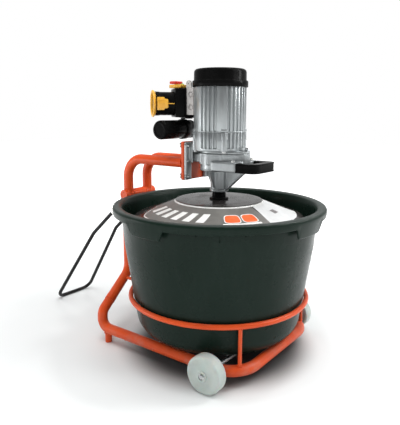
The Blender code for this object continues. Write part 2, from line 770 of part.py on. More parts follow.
def make_fan_cowl():
    low, high = COWL_Z
    skin = 2.6
    outside = [(COWL_LIP_R, low), (COWL_LIP_R, low + 17), (COWL_R, low + 19)]
    shoulder = arc((COWL_R - 8, high - 8), 8, 0, 90, 2)
    inside_top = [(COWL_R - 8, high - skin), (COWL_R - skin, high - 8)]
    inside = [(COWL_R - skin, low + 18), (COWL_LIP_R - skin, low + 16), (COWL_LIP_R - skin, low)]
    profile = outside + shoulder + [(0, high), (0, high - skin)] + inside_top + inside
    ring = profile.index((0, high))
    ordered = profile[ring + 1:] + profile[:ring + 1]
    cowl = place("fan_cowl", lathe(ordered, 40, closed=False), "black_plastic")
    slots = bmesh.new()
    for index in range(8):
        slot = turned(block((24, 57), (-2.5, 2.5), (high - 10, high + 5)), "Z", 45 * index)
        mesh = bpy.data.meshes.new("slot")
        slot.to_mesh(mesh)
        slot.free()
        slots.from_mesh(mesh)
        bpy.data.meshes.remove(mesh)
    cut(cowl, slots)
    return cowl


def make_rotor():
    profile = [(0, 549.8), (7.0, 549.8), (7.0, 561.5), (MOTOR_SHAFT_R, 561.5),
               (MOTOR_SHAFT_R, 646), (32.5, 646), (32.5, 734), (MOTOR_SHAFT_R, 734),
               (MOTOR_SHAFT_R, 784), (0, 784)]
    rotor = place("rotor", lathe(profile, 20, closed=False), "steel")
    join(rotor, gear(PINION_TEETH, 550, 561))
    return rotor


def make_cooling_fan():
    low = STATOR_Z[1] + 15
    bore = MOTOR_SHAFT_R + GAP
    profile = [(bore, low), (54, low), (54, low + 3), (16, low + 3), (14, low + 18),
               (bore, low + 18)]
    fan = place("cooling_fan", lathe(profile, 20), "black_plastic")
    for index in range(6):
        join(fan, turned(block((13, 52), (-1.5, 1.5), (low + 1, low + 20)), "Z", 60 * index))
    return fan


# --- Switch gear ---------------------------------------------------------------------

def make_terminal_box():
    """Terminal box cast to the curve of the motor, with a screw tab on its top edge."""
    side = (-BOX_HALF_Y, BOX_HALF_Y)
    box = place("terminal_box", block((BOX_X[1] + GAP, -50), side, TERMINAL_Z, 2.0, 1),
                "grey_plastic")
    tab = moved(turned(disc(9.0, 0, 5, 20), "X", 90), -75, 5 - BOX_HALF_Y, 759)
    join(box, block((-80.4, -66), (-BOX_HALF_Y, 5 - BOX_HALF_Y), (740, 759)), tab)
    cut(box, disc(MOTOR_R + 0.9, 600, 800, 48))
    cut(box, moved(turned(disc(2.6, -10, 10, 12), "X", 90), -75, -BOX_HALF_Y, 759))
    return box


def make_switch_box():
    """Moulded box with one tall corner sliced off, and a square housing set on the slice."""
    side = (-BOX_HALF_Y, BOX_HALF_Y)
    box = place("switch_box", block(BOX_X, side, BOX_Z, 4.0, 3), "black_plastic")
    wedge = block((0, 80), (-90, 90), (-90, 90))
    cut(box, moved(turned(wedge, "Z", INLET_ANGLE), *INLET_BASE))
    height = (BOX_Z[0] + 1.5 - INLET_Z, BOX_Z[1] - 1.5 - INLET_Z)
    across = (-INLET_HOUSING_HALF, INLET_HOUSING_HALF)
    housing = block(INLET_HOUSING, across, height, 3.0, 2)
    join(box, moved(turned(housing, "Z", INLET_ANGLE), *INLET_BASE))
    return box


def make_capacitor():
    low, high = CAPACITOR_Y
    r = CAPACITOR_R
    profile = [(0, low), (r - 7, low), (r - 2, low + 2), (r, low + 7), (r, high - 7),
               (r - 2, high - 2), (r - 7, high), (0, high)]
    can = moved(along_y(lathe(profile, 24, closed=False)), CAPACITOR_X, 0, CAPACITOR_Z)
    return place("capacitor", can, "black_plastic")


def make_capacitor_strap():
    inner = CAPACITOR_R + GAP
    band = moved(along_y(washer(inner, inner + 2, -9, 9, 24)), CAPACITOR_X, 0, CAPACITOR_Z)
    strap = place("capacitor_strap", band, "black_paint")
    top = BOX_Z[0] - GAP
    join(strap, block((CAPACITOR_X - 1, CAPACITOR_X + 28), (-9, 9), (top - 2.5, top)))
    join(strap, block((CAPACITOR_X - 1, CAPACITOR_X + 1), (-9, 9),
                      (CAPACITOR_Z + inner + 0.5, top - 1)))
    return strap


def inlet_frame(bm):
    """Turn a shape made about Z, towards +Z, so that it lies along the inlet's axis."""
    turned(along_x(bm), "Z", INLET_ANGLE)
    return moved(bm, *INLET_BASE)


def make_inlet_body():
    front = INLET_REACH - 8
    rear = INLET_HOUSING[1] + GAP
    profile = [(0, rear), (INLET_R, rear), (INLET_R, front), (27, front), (27, front - 42),
               (0, front - 42)]
    body = place("inlet_body", inlet_frame(lathe(profile, 28, closed=False)), "black_plastic")
    for index in range(3):
        x, y = polar(11.0, 90 + 120 * index)
        join(body, inlet_frame(moved(disc(2.6, front - 44, front - 16, 12), x, y)))
    rib = moved(disc(1.6, rear + 2, 46, 8), 0, INLET_R - 0.4)
    join(body, inlet_frame(rib))
    return body


def make_inlet_ring():
    front = INLET_REACH - 8 + GAP
    profile = [(26.3, front), (INLET_R, front), (INLET_R + 3.8, front + 4),
               (INLET_R + 3.8, front + 7), (INLET_R + 2.5, front + 8), (26.3, front + 8)]
    return place("inlet_ring", inlet_frame(lathe(profile, 28)), "yellow_plastic")


def latch_hinge():
    outward = Vector(polar(1.0, INLET_ANGLE + 90)).to_3d()
    forward = Vector(polar(1.0, INLET_ANGLE)).to_3d()
    return Vector(INLET_BASE) + forward * 49.0 + outward * 37.3


def make_inlet_latch():
    """Clip that holds the plug: a plate along the outer side of the inlet, with finger ribs."""
    plate = block((-20, 20), (34.8, 39.8), (47, 77), 1.4, 2)
    latch = place("inlet_latch", inlet_frame(plate), "yellow_plastic",
                  latch_hinge())
    for offset in (-12, 0, 12):
        rib = block((offset - 1.5, offset + 1.5), (38, 41.5), (52, 74))
        join(latch, inlet_frame(rib))
    return latch


def make_switch_frame():
    frame = place("switch_frame", block((-145, -102), (-45, -13), (BOX_Z[1] + GAP, 757.5), 1.5, 1),
                  "yellow_plastic")
    cut(frame, moved(disc(8.4, 740, 770, 20), -130, -29), moved(disc(5.4, 740, 770, 16), -109.2, -29))
    return frame


def make_button(name, x, radius, top, material):
    profile = [(0, 752.0), (radius, 752.0), (radius, top - 1), (radius - 1, top), (0, top)]
    return place(name, moved(lathe(profile, 12, closed=False), x, -29), material, (x, -29, 752))


def make_stop_flap():
    flap = place("stop_flap", block((-144.5, -119.5), (-44, -14), (759.3, 767), 1.8, 2),
                 "red_plastic", (-121.5, -29, 761.8))
    return flap


# --- Front handle ----------------------------------------------------------------------

def make_front_handle():
    """U-shaped channel that opens outwards, with a tongue in each lug of the gearbox."""
    low, high = GRIP_Z
    corner = 24.0
    inset = (GRIP_X - corner, GRIP_HALF_Y - corner)
    stations = [((GRIP_START, -GRIP_HALF_Y), (0.0, 1.0))]
    for middle_y, start in ((-inset[1], -90), (inset[1], 0)):
        for x, y in arc((inset[0], middle_y), corner, start, start + 90, 5):
            normal = ((inset[0] - x) / corner, (middle_y - y) / corner)
            stations.append(((x, y), normal))
    stations.append(((GRIP_START, GRIP_HALF_Y), (0.0, -1.0)))
    section = [(0, high), (0, high - 4), (9, high - 4), (9, low + 4), (0, low + 4), (0, low),
               (GRIP_DEPTH, low), (GRIP_DEPTH, high)]
    bm = bmesh.new()
    rings = []
    for (x, y), (nx, ny) in stations:
        rings.append([bm.verts.new((x + nx * depth, y + ny * depth, z)) for depth, z in section])
    for first, second in zip(rings, rings[1:]):
        for index in range(len(section)):
            after = (index + 1) % len(section)
            bm.faces.new((first[index], first[after], second[after], second[index]))
    bm.faces.new(rings[0])
    bm.faces.new(rings[-1])
    handle = place("front_handle", bm, "black_plastic")
    for side in (-1, 1):
        tongue = sorted((side * 40.0, side * 52.0))
        join(handle, block((66.5, 97), tongue, (530, 546)))
        cut(handle, moved(disc(3.3, 520, 560, 12), 76, side * 46.0))
    return handle


def make_handle_screw(name, side):
    screw = moved(bolt(5.5, 4.5, 3.0, 20), 76, side * 46.0, GEARBOX_Z[0] + 29 + GAP)
    return place(name, screw, "zinc")


# --- Lid and mixing tool -----------------------------------------------------------------

def make_lid():
    shoulder = LID_TOP - 3
    profile = [(20, LID_TOP), (LID_FLAT_R - 6, LID_TOP), (LID_FLAT_R, shoulder),
               (LID_R - 6, LID_EDGE + 4), (LID_R, LID_EDGE), (LID_R, LID_EDGE - 7),
               (LID_R - LID_SKIN, LID_EDGE - 7), (LID_R - LID_SKIN, LID_EDGE - 1.5),
               (LID_R - 7, LID_EDGE + 1), (LID_FLAT_R - 1, shoulder - LID_SKIN),
               (20, LID_TOP - LID_SKIN)]
    return place("lid", lathe(profile, 48), "lid_plastic")


def make_lid_bush():
    bore = OUTPUT_SHAFT_R + GAP
    top = NECK_BOTTOM - GAP
    profile = [(bore, top), (18.5, top), (19.4, top - 6), (19.4, LID_TOP + 5), (27, LID_TOP + 4),
               (27, LID_TOP + GAP), (19.4, LID_TOP + GAP), (19.4, LID_TOP - LID_SKIN - 2 * GAP),
               (27, LID_TOP - LID_SKIN - 2 * GAP), (27, LID_TOP - 8), (bore, LID_TOP - 8)]
    return place("lid_bush", lathe(profile, 24), "black_plastic")


def blade(start, finish, low, high, height):
    """A helical strip that climbs from one angle to another at the tool's radius."""
    steps = 10
    bm = bmesh.new()
    rings = []
    for index in range(steps + 1):
        share = index / steps
        angle = start + (finish - start) * share
        middle = low + (high - low) * share
        ring = []
        for radius, lift in ((TOOL_R - 6, -1), (TOOL_R, -1), (TOOL_R, 1), (TOOL_R - 6, 1)):
            x, y = polar(radius, angle)
            ring.append(bm.verts.new((x, y, middle + lift * height / 2)))
        rings.append(ring)
    for first, second in zip(rings, rings[1:]):
        for index in range(4):
            after = (index + 1) % 4
            bm.faces.new((first[index], first[after], second[after], second[index]))
    bm.faces.new(rings[0])
    bm.faces.new(rings[-1])
    return bm


def make_mixing_paddle():
    socket = SHAFT_END - GAP
    bore = OUTPUT_SHAFT_R + GAP
    stem = [(0, TOOL_BOTTOM), (12, TOOL_BOTTOM), (12, 300), (19, 306), (19, SHAFT_END + 40),
            (bore, SHAFT_END + 40), (bore, socket), (0, socket)]
    paddle = place("mixing_paddle", lathe(stem, 16, closed=False), "steel")
    foot = 22.0
    for turn in (0, 180):
        start = 42 + turn
        finish = 138 + turn
        join(paddle, blade(start, finish, TOOL_BOTTOM + 18, 238, 34.0))
        lower = block((4, TOOL_R - 4), (-4, 4), (TOOL_BOTTOM, TOOL_BOTTOM + foot))
        join(paddle, turned(lower, "Z", start + 2))
        upper = moved(along_x(disc(7.0, 4, TOOL_R - 4, 12)), 0, 0, 238)
        join(paddle, turned(upper, "Z", finish - 3))
    cut(paddle, moved(along_x(disc(3.3, -40, 40, 12)), 0, 0, SHAFT_END + 20))
    return paddle


def make_coupling_pin():
    pin = moved(along_x(disc(3.0, -21, 21, 12)), 0, 0, SHAFT_END + 20)
    return place("coupling_pin", pin, "zinc")


def build():
    clear_scene()
    make_base_frame()
    make_cradle_ring()
    make_upright("upright_left", -1)
    make_upright("upright_right", 1)
    make_hinge_crossbar()
    make_hinge_pin()
    make_rear_bracket()
    make_wheel_axle()
    make_axle_cap("axle_cap_left", -1)
    make_axle_cap("axle_cap_right", 1)
    make_wheel("wheel_left", -1)
    make_wheel("wheel_right", 1)
    make_tub()
    make_rear_handle()
    make_handle_pivot("handle_pivot_left", -1)
    make_handle_pivot("handle_pivot_right", 1)
    make_arm("arm_left", -1)
    make_arm("arm_right", 1)
    make_arm_plate()
    for number, (y, z) in enumerate(plate_bolt_places(), 1):
        make_flange_bolt(f"flange_bolt_{number}", y, z)
    make_gearbox_housing()
    make_gearbox_cover()
    make_oil_plug()
    make_layshaft()
    make_output_shaft()
    make_bearing("output_bearing", OUTPUT_SHAFT_R + GAP, BEARING_R, NECK_BOTTOM + 2,
                 NECK_BOTTOM + 14)
    make_bearing("lower_motor_bearing", MOTOR_SHAFT_R + GAP, BEARING_R, SHIELD_Z[0] + 20.3,
                 SHIELD_Z[0] + 32)
    make_bearing("upper_motor_bearing", MOTOR_SHAFT_R + GAP, BEARING_R, STATOR_Z[1] - 3,
                 STATOR_Z[1] + 9.5)
    make_motor_shield()
    make_stator_housing()
    for number, (x, y) in enumerate(bolt_places(), 1):
        make_shield_bolt(f"shield_bolt_{number}", x, y)
    make_stator_core()
    make_upper_shield()
    make_fan_cowl()
    make_rotor()
    make_cooling_fan()
    make_terminal_box()
    make_switch_box()
    make_capacitor()
    make_capacitor_strap()
    make_inlet_body()
    make_inlet_ring()
    make_inlet_latch()
    make_switch_frame()
    make_button("start_button", -109.2, 5.0, 760.0, "green_plastic")
    make_button("stop_button", -130.0, 8.0, 758.8, "red_plastic")
    make_stop_flap()
    make_front_handle()
    make_handle_screw("handle_screw_left", -1)
    make_handle_screw("handle_screw_right", 1)
    make_lid()
    make_lid_bush()
    make_mixing_paddle()
    make_coupling_pin()


build()
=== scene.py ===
"""Looks of the wheeled tub mixer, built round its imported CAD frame.

Shapes are drawn in millimetres with the tub's axis at x = 0 and the floor at z = 0,
and Shift puts them back into the frame's metres. Sizes come from the CAD boxes.
"""

import json
import math

import bmesh
import bpy
from mathutils import Matrix, Vector, noise


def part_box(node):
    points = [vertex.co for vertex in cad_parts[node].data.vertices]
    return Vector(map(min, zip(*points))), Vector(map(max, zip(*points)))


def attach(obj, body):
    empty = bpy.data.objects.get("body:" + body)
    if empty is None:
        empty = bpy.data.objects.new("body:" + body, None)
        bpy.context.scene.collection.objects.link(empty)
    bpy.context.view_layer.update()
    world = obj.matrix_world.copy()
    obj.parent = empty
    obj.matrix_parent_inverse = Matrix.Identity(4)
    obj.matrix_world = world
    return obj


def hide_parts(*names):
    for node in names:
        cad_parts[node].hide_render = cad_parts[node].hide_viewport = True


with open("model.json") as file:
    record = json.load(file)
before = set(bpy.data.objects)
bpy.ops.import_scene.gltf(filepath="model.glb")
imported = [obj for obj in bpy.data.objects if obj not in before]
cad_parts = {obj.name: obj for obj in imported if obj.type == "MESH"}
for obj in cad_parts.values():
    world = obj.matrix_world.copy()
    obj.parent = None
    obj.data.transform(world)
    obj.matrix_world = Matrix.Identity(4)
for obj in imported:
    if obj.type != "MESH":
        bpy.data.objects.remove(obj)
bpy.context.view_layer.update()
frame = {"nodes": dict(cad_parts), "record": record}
MM = 0.001


def box_centre(node):
    low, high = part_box(node)
    return (low + high) / 2


AXIS = Vector((box_centre("tub").x, 0.0, 0.0))
BODY_OF = {node: body for body, nodes in frame["record"]["behaviour"]["bodies"].items()
           for node in nodes}


def span(node):
    """Lowest and highest corner of a node, in millimetres from the tub's axis."""
    low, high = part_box(node)
    return (low - AXIS) / MM, (high - AXIS) / MM


def middle_of(node):
    low, high = span(node)
    return (low + high) / 2


# --- Mesh building ----------------------------------------------------------------

def polar(radius, degrees):
    angle = math.radians(degrees)
    return radius * math.cos(angle), radius * math.sin(angle)


def arc(centre, radius, start, end, steps):
    points = []
    for step in range(steps + 1):
        x, y = polar(radius, start + (end - start) * step / steps)
        points.append((centre[0] + x, centre[1] + y))
    return points


def smoothstep(low, high, value):
    share = min(1.0, max(0.0, (value - low) / (high - low)))
    return share * share * (3 - 2 * share)


def skin_rings(bm, rings, closed=False):
    """Faces between rings of equal length; closed joins the last ring to the first."""
    pairs = list(zip(rings, rings[1:]))
    if closed:
        pairs.append((rings[-1], rings[0]))
    for first, second in pairs:
        count = len(first)
        for index in range(count):
            after = (index + 1) % count
            bm.faces.new((first[index], first[after], second[after], second[index]))
    if not closed:
        bm.faces.new(list(reversed(rings[0])))
        bm.faces.new(rings[-1])
    return bm


def lathe(profile, steps):
    """Turn (radius, height) points about Z; a profile that starts and ends on it makes a solid."""
    bm = bmesh.new()
    rows = []
    for radius, height in profile:
        if radius < 1e-6:
            rows.append([bm.verts.new((0, 0, height))])
        else:
            spots = [polar(radius, 360 * k / steps) for k in range(steps)]
            rows.append([bm.verts.new((x, y, height)) for x, y in spots])
    for first, second in zip(rows, rows[1:] + rows[:1]):
        for k in range(steps):
            after = (k + 1) % steps
            if len(first) == 1 and len(second) > 1:
                bm.faces.new((first[0], second[after], second[k]))
            elif len(second) == 1 and len(first) > 1:
                bm.faces.new((first[k], first[after], second[0]))
            elif len(first) > 1:
                bm.faces.new((first[k], first[after], second[after], second[k]))
    return bm


def soften(profile, radius, steps=3, closed=True):
    """Round the corners of a profile by up to radius."""
    result = []
    count = len(profile)
    for index, point in enumerate(profile):
        if not closed and index in (0, count - 1):
            result.append(point)
            continue
        here = Vector(point)
        before = Vector(profile[index - 1]) - here
        after = Vector(profile[(index + 1) % count]) - here
        if before.length < 1e-6 or after.length < 1e-6:
            result.append(point)
            continue
        reach = min(radius, before.length * 0.45, after.length * 0.45)
        start = here + before.normalized() * reach
        end = here + after.normalized() * reach
        for step in range(steps + 1):
            t = step / steps
            spot = start * (1 - t) ** 2 + here * 2 * t * (1 - t) + end * t * t
            result.append((spot.x, spot.y))
    return result


def prism(outline, low, high, bevel=0.0):
    """Extrude an outline upwards, its two rims stepped in by bevel."""
    bm = bmesh.new()
    levels = [(low, 0.0), (high, 0.0)]
    if bevel:
        levels = [(low, bevel), (low + bevel * 0.35, bevel * 0.35), (low + bevel, 0.0),
                  (high - bevel, 0.0), (high - bevel * 0.35, bevel * 0.35), (high, bevel)]
    rings = []
    count = len(outline)
    for height, inset in levels:
        ring = []
        for index, point in enumerate(outline):
            here = Vector(point)
            ahead = Vector(outline[(index + 1) % count]) - Vector(outline[index - 1])
            normal = Vector((-ahead.y, ahead.x))
            normal = normal.normalized() if normal.length > 1e-9 else Vector((0, 0))
            spot = here + normal * inset
            ring.append(bm.verts.new((spot.x, spot.y, height)))
        rings.append(ring)
    return skin_rings(bm, rings)


def rounded_box(x, y, z, radius=2.0, steps=3):
    bm = bmesh.new()
    size = Vector((x[1] - x[0], y[1] - y[0], z[1] - z[0]))
    centre = Vector((sum(x), sum(y), sum(z))) / 2
    matrix = Matrix.Translation(centre) @ Matrix.Diagonal((*size, 1.0))
    bmesh.ops.create_cube(bm, size=1.0, matrix=matrix)
    if radius:
        bmesh.ops.bevel(bm, geom=list(bm.edges), offset=radius, segments=steps, profile=0.5,
                        affect="EDGES")
    return bm


def node_box(node, radius, steps):
    low, high = span(node)
    return rounded_box((low.x, high.x), (low.y, high.y), (low.z, high.z), radius, steps)


def round_path(corners, radii, steps=14):
    corners = [Vector(point) for point in corners]
    path = [corners[0]]
    for index in range(1, len(corners) - 1):
        before = (corners[index - 1] - corners[index]).normalized()
        after = (corners[index + 1] - corners[index]).normalized()
        half = before.angle(after) / 2
        radius = radii[index - 1]
        centre = corners[index] + (before + after).normalized() * (radius / math.sin(half))
        start = corners[index] + before * (radius / math.tan(half)) - centre
        finish = corners[index] + after * (radius / math.tan(half)) - centre
        normal = start.cross(finish).normalized()
        sweep = start.angle(finish)
        for step in range(steps + 1):
            path.append(centre + Matrix.Rotation(sweep * step / steps, 3, normal) @ start)
    path.append(corners[-1])
    return path


def tube(path, radius, sides=28, end_round=1.2, swell=None):
    """Sweep a circle along a path. swell(distance) scales the radius along the way."""
    bm = bmesh.new()
    path = [Vector(point) for point in path]
    start = (path[0] - path[1]).normalized()
    finish = (path[-1] - path[-2]).normalized()
    spots = [(path[0], 1.0 - end_round / radius)]
    spots += [(path[0] - start * end_round, 1.0)] + [(point, 1.0) for point in path[1:-1]]
    spots += [(path[-1] - finish * end_round, 1.0), (path[-1], 1.0 - end_round / radius)]
    tangent = -start
    side = tangent.orthogonal().normalized()
    rings = []
    travelled = 0.0
    for index, (point, scale) in enumerate(spots):
        if index:
            travelled += (point - spots[index - 1][0]).length
        before = (point - spots[index - 1][0]) if index else tangent
        after = (spots[index + 1][0] - point) if index + 1 < len(spots) else before
        middle = (before.normalized() + after.normalized()).normalized()
        side = (side - middle * side.dot(middle)).normalized()
        other = middle.cross(side)
        reach = radius * scale * (swell(travelled) if swell else 1.0)
        ring = []
        for turn in range(sides):
            angle = math.tau * turn / sides
            ring.append(bm.verts.new(point + (side * math.cos(angle) + other * math.sin(angle)) * reach))
        rings.append(ring)
    return skin_rings(bm, rings)


def torus(major, minor, height, steps=160, sides=20):
    return lathe(arc((major, height), minor, 0, 360 - 360 / sides, sides - 1), steps)


def turning(profile, ease=0.8, rounds=2, steps=40):
    """A lathed shape with rounded corners, except where its profile meets the axis."""
    return lathe(soften(profile, ease, rounds, profile[0][0] > 0), steps)


def rod(radius, low, high, steps=32):
    return lathe([(0, low), (radius, low), (radius, high), (0, high)], steps)


def disc(radius, low, high, ease=0.8, rounds=2, steps=32):
    profile = [(0, low), (radius, low), (radius, high), (0, high)]
    return turning(profile, ease, rounds, steps)


def collar(inner, outer, low, high, ease=0.8, rounds=2, steps=40):
    profile = [(inner, low), (outer, low), (outer, high), (inner, high)]
    return turning(profile, ease, rounds, steps)


def moved(bm, x=0.0, y=0.0, z=0.0):
    bmesh.ops.translate(bm, verts=bm.verts, vec=(x, y, z))
    return bm


def turned(bm, axis, degrees):
    bmesh.ops.rotate(bm, verts=bm.verts, cent=(0, 0, 0),
                     matrix=Matrix.Rotation(math.radians(degrees), 3, axis))
    return bm


def along_y(bm):
    return turned(bm, "X", -90)


def along_x(bm):
    return turned(bm, "Y", 90)


def towards(side, bm):
    """Turn a shape made for the right side (+Y) to face the given side."""
    return turned(bm, "Z", 180) if side < 0 else bm


def gathered(*shapes):
    """Several closed shapes in one mesh."""
    whole = bmesh.new()
    for bm in shapes:
        mesh = bpy.data.meshes.new("part")
        bm.to_mesh(mesh)
        bm.free()
        whole.from_mesh(mesh)
        bpy.data.meshes.remove(mesh)
    return whole


def bead(path, radius=2.6, seed=0):
    """A weld: a rippled ring or line of metal laid along a path."""
    def swell(distance):
        ripple = 0.16 * math.sin(distance * 1.9 + seed)
        return 1.0 + ripple + 0.12 * noise.noise(Vector((distance * 0.25, seed, 0.0)))
    return tube(path, radius, 10, 0.6, swell)


def ring_path(centre, normal, radius, steps):
    normal = Vector(normal).normalized()
    side = normal.orthogonal().normalized()
    other = normal.cross(side)
    points = []
    for step in range(steps + 1):
        across, up = polar(radius, 360 * step / steps)
        points.append(Vector(centre) + side * across + other * up)
    return points


def ring_weld(centre, axis, radius, size, seed, steps=28):
    normal = {"X": (1, 0, 0), "Z": (0, 0, 1)}[axis]
    return bead(ring_path(centre, normal, radius, steps), size, seed)


def shade(obj, sharp):
    obj.data.shade_smooth()
    obj.data.set_sharp_from_angle(angle=math.radians(sharp))
    return obj


def to_object(name, bm, sharp=36):
    bmesh.ops.recalc_face_normals(bm, faces=bm.faces)
    bmesh.ops.transform(bm, matrix=Matrix.Translation(AXIS) @ Matrix.Scale(MM, 4), verts=bm.verts)
    mesh = bpy.data.meshes.new(name)
    bm.to_mesh(mesh)
    bm.free()
    obj = bpy.data.objects.new(name, mesh)
    bpy.context.scene.collection.objects.link(obj)
    return shade(obj, sharp)


def piece(name, bm, material, *nodes, sharp=36, body=None):
    """Add a visible piece that stands for CAD nodes, and rides on their body."""
    obj = bm if isinstance(bm, bpy.types.Object) else to_object(name, bm, sharp)
    obj.data.materials.clear()
    obj.data.materials.append(MATERIALS[material])
    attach(obj, body or BODY_OF[nodes[0]])
    if nodes:
        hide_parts(*nodes)
    return obj


def evaluated(obj):
    """Replace an object's mesh by the result of its modifiers."""
    bpy.context.view_layer.update()
    graph = bpy.context.evaluated_depsgraph_get()
    mesh = bpy.data.meshes.new_from_object(obj.evaluated_get(graph))
    obj.modifiers.clear()
    old = obj.data
    obj.data = mesh
    bpy.data.meshes.remove(old)
    return obj


def boolean(obj, operation, shapes):
    for shape in shapes:
        tool = shape if isinstance(shape, bpy.types.Object) else to_object("tool", shape)
        modifier = obj.modifiers.new("boolean", "BOOLEAN")
        modifier.operation = operation
        modifier.solver = "EXACT"
        modifier.object = tool
        evaluated(obj)
        bpy.data.objects.remove(tool, do_unlink=True)
    return obj


def cut(obj, *shapes):
    return boolean(obj, "DIFFERENCE", shapes)


def join(obj, *shapes):
    return boolean(obj, "UNION", shapes)


def eased(obj, width, angle):
    """Bevel the sharp edges, width in metres."""
    ease = obj.modifiers.new("ease", "BEVEL")
    ease.width = width
    ease.segments = 2
    ease.limit_method = "ANGLE"
    ease.angle_limit = math.radians(angle)
    return obj


def cast(obj, voxel=1.3, rounds=4, share=0.35):
    """Melt joined shapes into one casting with soft inner corners."""
    remesh = obj.modifiers.new("remesh", "REMESH")
    remesh.mode = "VOXEL"
    remesh.voxel_size = voxel * MM
    relax = obj.modifiers.new("relax", "SMOOTH")
    relax.factor = 0.5
    relax.iterations = rounds
    thin = obj.modifiers.new("thin", "DECIMATE")
    thin.ratio = share
    return shade(evaluated(obj), 50)


# --- Materials ---------------------------------------------------------------------

class Recipe:
    """A Principled material and the nodes that feed it, in the piece's own coordinates."""

    def __init__(self, name):
        self.material = bpy.data.materials.new(name)
        self.material.use_nodes = True
        self.tree = self.material.node_tree
        self.shader = self.tree.nodes["Principled BSDF"]
        self.coords = self.tree.nodes.new("ShaderNodeTexCoord")
        self.place = self.coords.outputs["Object"]

    def link(self, source, target):
        if isinstance(source, bpy.types.NodeSocket):
            self.tree.links.new(source, target)
        elif target.type == "RGBA":
            target.default_value = (*source, 1.0)
        else:
            target.default_value = source

    def add(self, kind, inputs, output=0, **settings):
        """Make a node, feed its inputs by name or number, and return one output."""
        made = self.tree.nodes.new("ShaderNode" + kind)
        for key, value in settings.items():
            setattr(made, key, value)
        for key, value in inputs.items():
            self.link(value, made.inputs[key])
        return made.outputs[output]

    def noise(self, scale, detail=4.0, rough=0.55, stretch=(1, 1, 1), distortion=0.0):
        place = self.add("Mapping", {"Vector": self.place, "Scale": stretch})
        return self.add("TexNoise", {"Vector": place, "Scale": scale, "Detail": detail,
                                     "Roughness": rough, "Distortion": distortion}, "Fac")

    def cells(self, scale):
        return self.add("TexVoronoi", {"Vector": self.place, "Scale": scale}, "Distance")

    def spread(self, value, low, high, new_low=0.0, new_high=1.0):
        """Carry low..high over to new_low..new_high, easing in and out."""
        return self.add("MapRange", {"Value": value, "From Min": low, "From Max": high,
                                     "To Min": new_low, "To Max": new_high}, "Result",
                        interpolation_type="SMOOTHSTEP")

    def calc(self, operation, first, second=0.0):
        return self.add("Math", {0: first, 1: second}, operation=operation)

    def times(self, first, second):
        return self.calc("MULTIPLY", first, second)

    def plus(self, first, second):
        return self.calc("ADD", first, second)

    def less(self, first, second):
        return self.calc("SUBTRACT", first, second)

    def most(self, first, second):
        return self.calc("MAXIMUM", first, second)

    def length(self, x, y):
        return self.calc("SQRT", self.plus(self.times(x, x), self.times(y, y)))

    def mix(self, share, first, second):
        return self.add("Mix", {"Factor": share, "A": first, "B": second}, "Result",
                        data_type="RGBA")

    def mottle(self, scale, detail, colour, shade):
        """Two close colours in soft patches."""
        return self.mix(self.spread(self.noise(scale, detail), 0.35, 0.7), colour, shade)

    def axis(self, number, source=None):
        return self.add("SeparateXYZ", {0: source or self.place}, number)

    def facing_up(self):
        return self.spread(self.axis(2, self.coords.outputs["Normal"]), 0.55, 0.98)

    def edges(self, radius=0.0012):
        """1 on worn edges, 0 on flats."""
        rounded = self.add("Bevel", {"Radius": radius}, samples=3)
        flat = self.add("NewGeometry", {}, "Normal")
        dot = self.add("VectorMath", {0: rounded, 1: flat}, "Value", operation="DOT_PRODUCT")
        return self.spread(dot, 0.995, 0.93)

    def bump(self, height, strength, distance=0.0003, onto=None):
        inputs = {"Strength": strength, "Distance": distance, "Height": height}
        if onto is not None:
            inputs["Normal"] = onto
        return self.add("Bump", inputs)

    def finish(self, colour, roughness, metallic, normal, **more):
        inputs = {"Base Color": colour, "Roughness": roughness, "Metallic": metallic,
                  "Normal": normal}
        inputs.update({key.replace("_", " "): value for key, value in more.items()})
        for key, value in inputs.items():
            self.link(value, self.shader.inputs[key])
        return self.material


def painted(name, colour, shade, dust=0.25):
    """Powder coat: slight orange peel, chipped at edges, dusty on top and near the floor."""
    r = Recipe(name)
    base = r.mottle(9, 3, colour, shade)
    fine = r.spread(r.noise(420, 3), 0.3, 0.75, 0.0, 0.10)
    base = r.mix(fine, base, [min(1.0, c * 1.35 + 0.004) for c in colour])
    low = r.spread(r.axis(2), 0.16, 0.02)
    patch = r.spread(r.noise(26, 6, 0.65), 0.42, 0.72)
    grime = r.times(r.most(low, r.times(r.facing_up(), 0.5)), r.times(patch, dust))
    base = r.mix(grime, base, (0.36, 0.31, 0.26))
    chips = r.times(r.edges(), r.spread(r.noise(160, 5, 0.7), 0.50, 0.62, 0.0, 0.6))
    base = r.mix(chips, base, (0.16, 0.12, 0.10))
    rough = r.plus(r.spread(r.noise(60, 5), 0.3, 0.7, 0.28, 0.42), r.times(grime, 0.4))
    peel = r.bump(r.noise(620, 2), 0.16, 0.00025)
    peel = r.bump(chips, -0.5, 0.0002, peel)
    return r.finish(base, rough, 0.0, peel, Specular_IOR_Level=0.22)


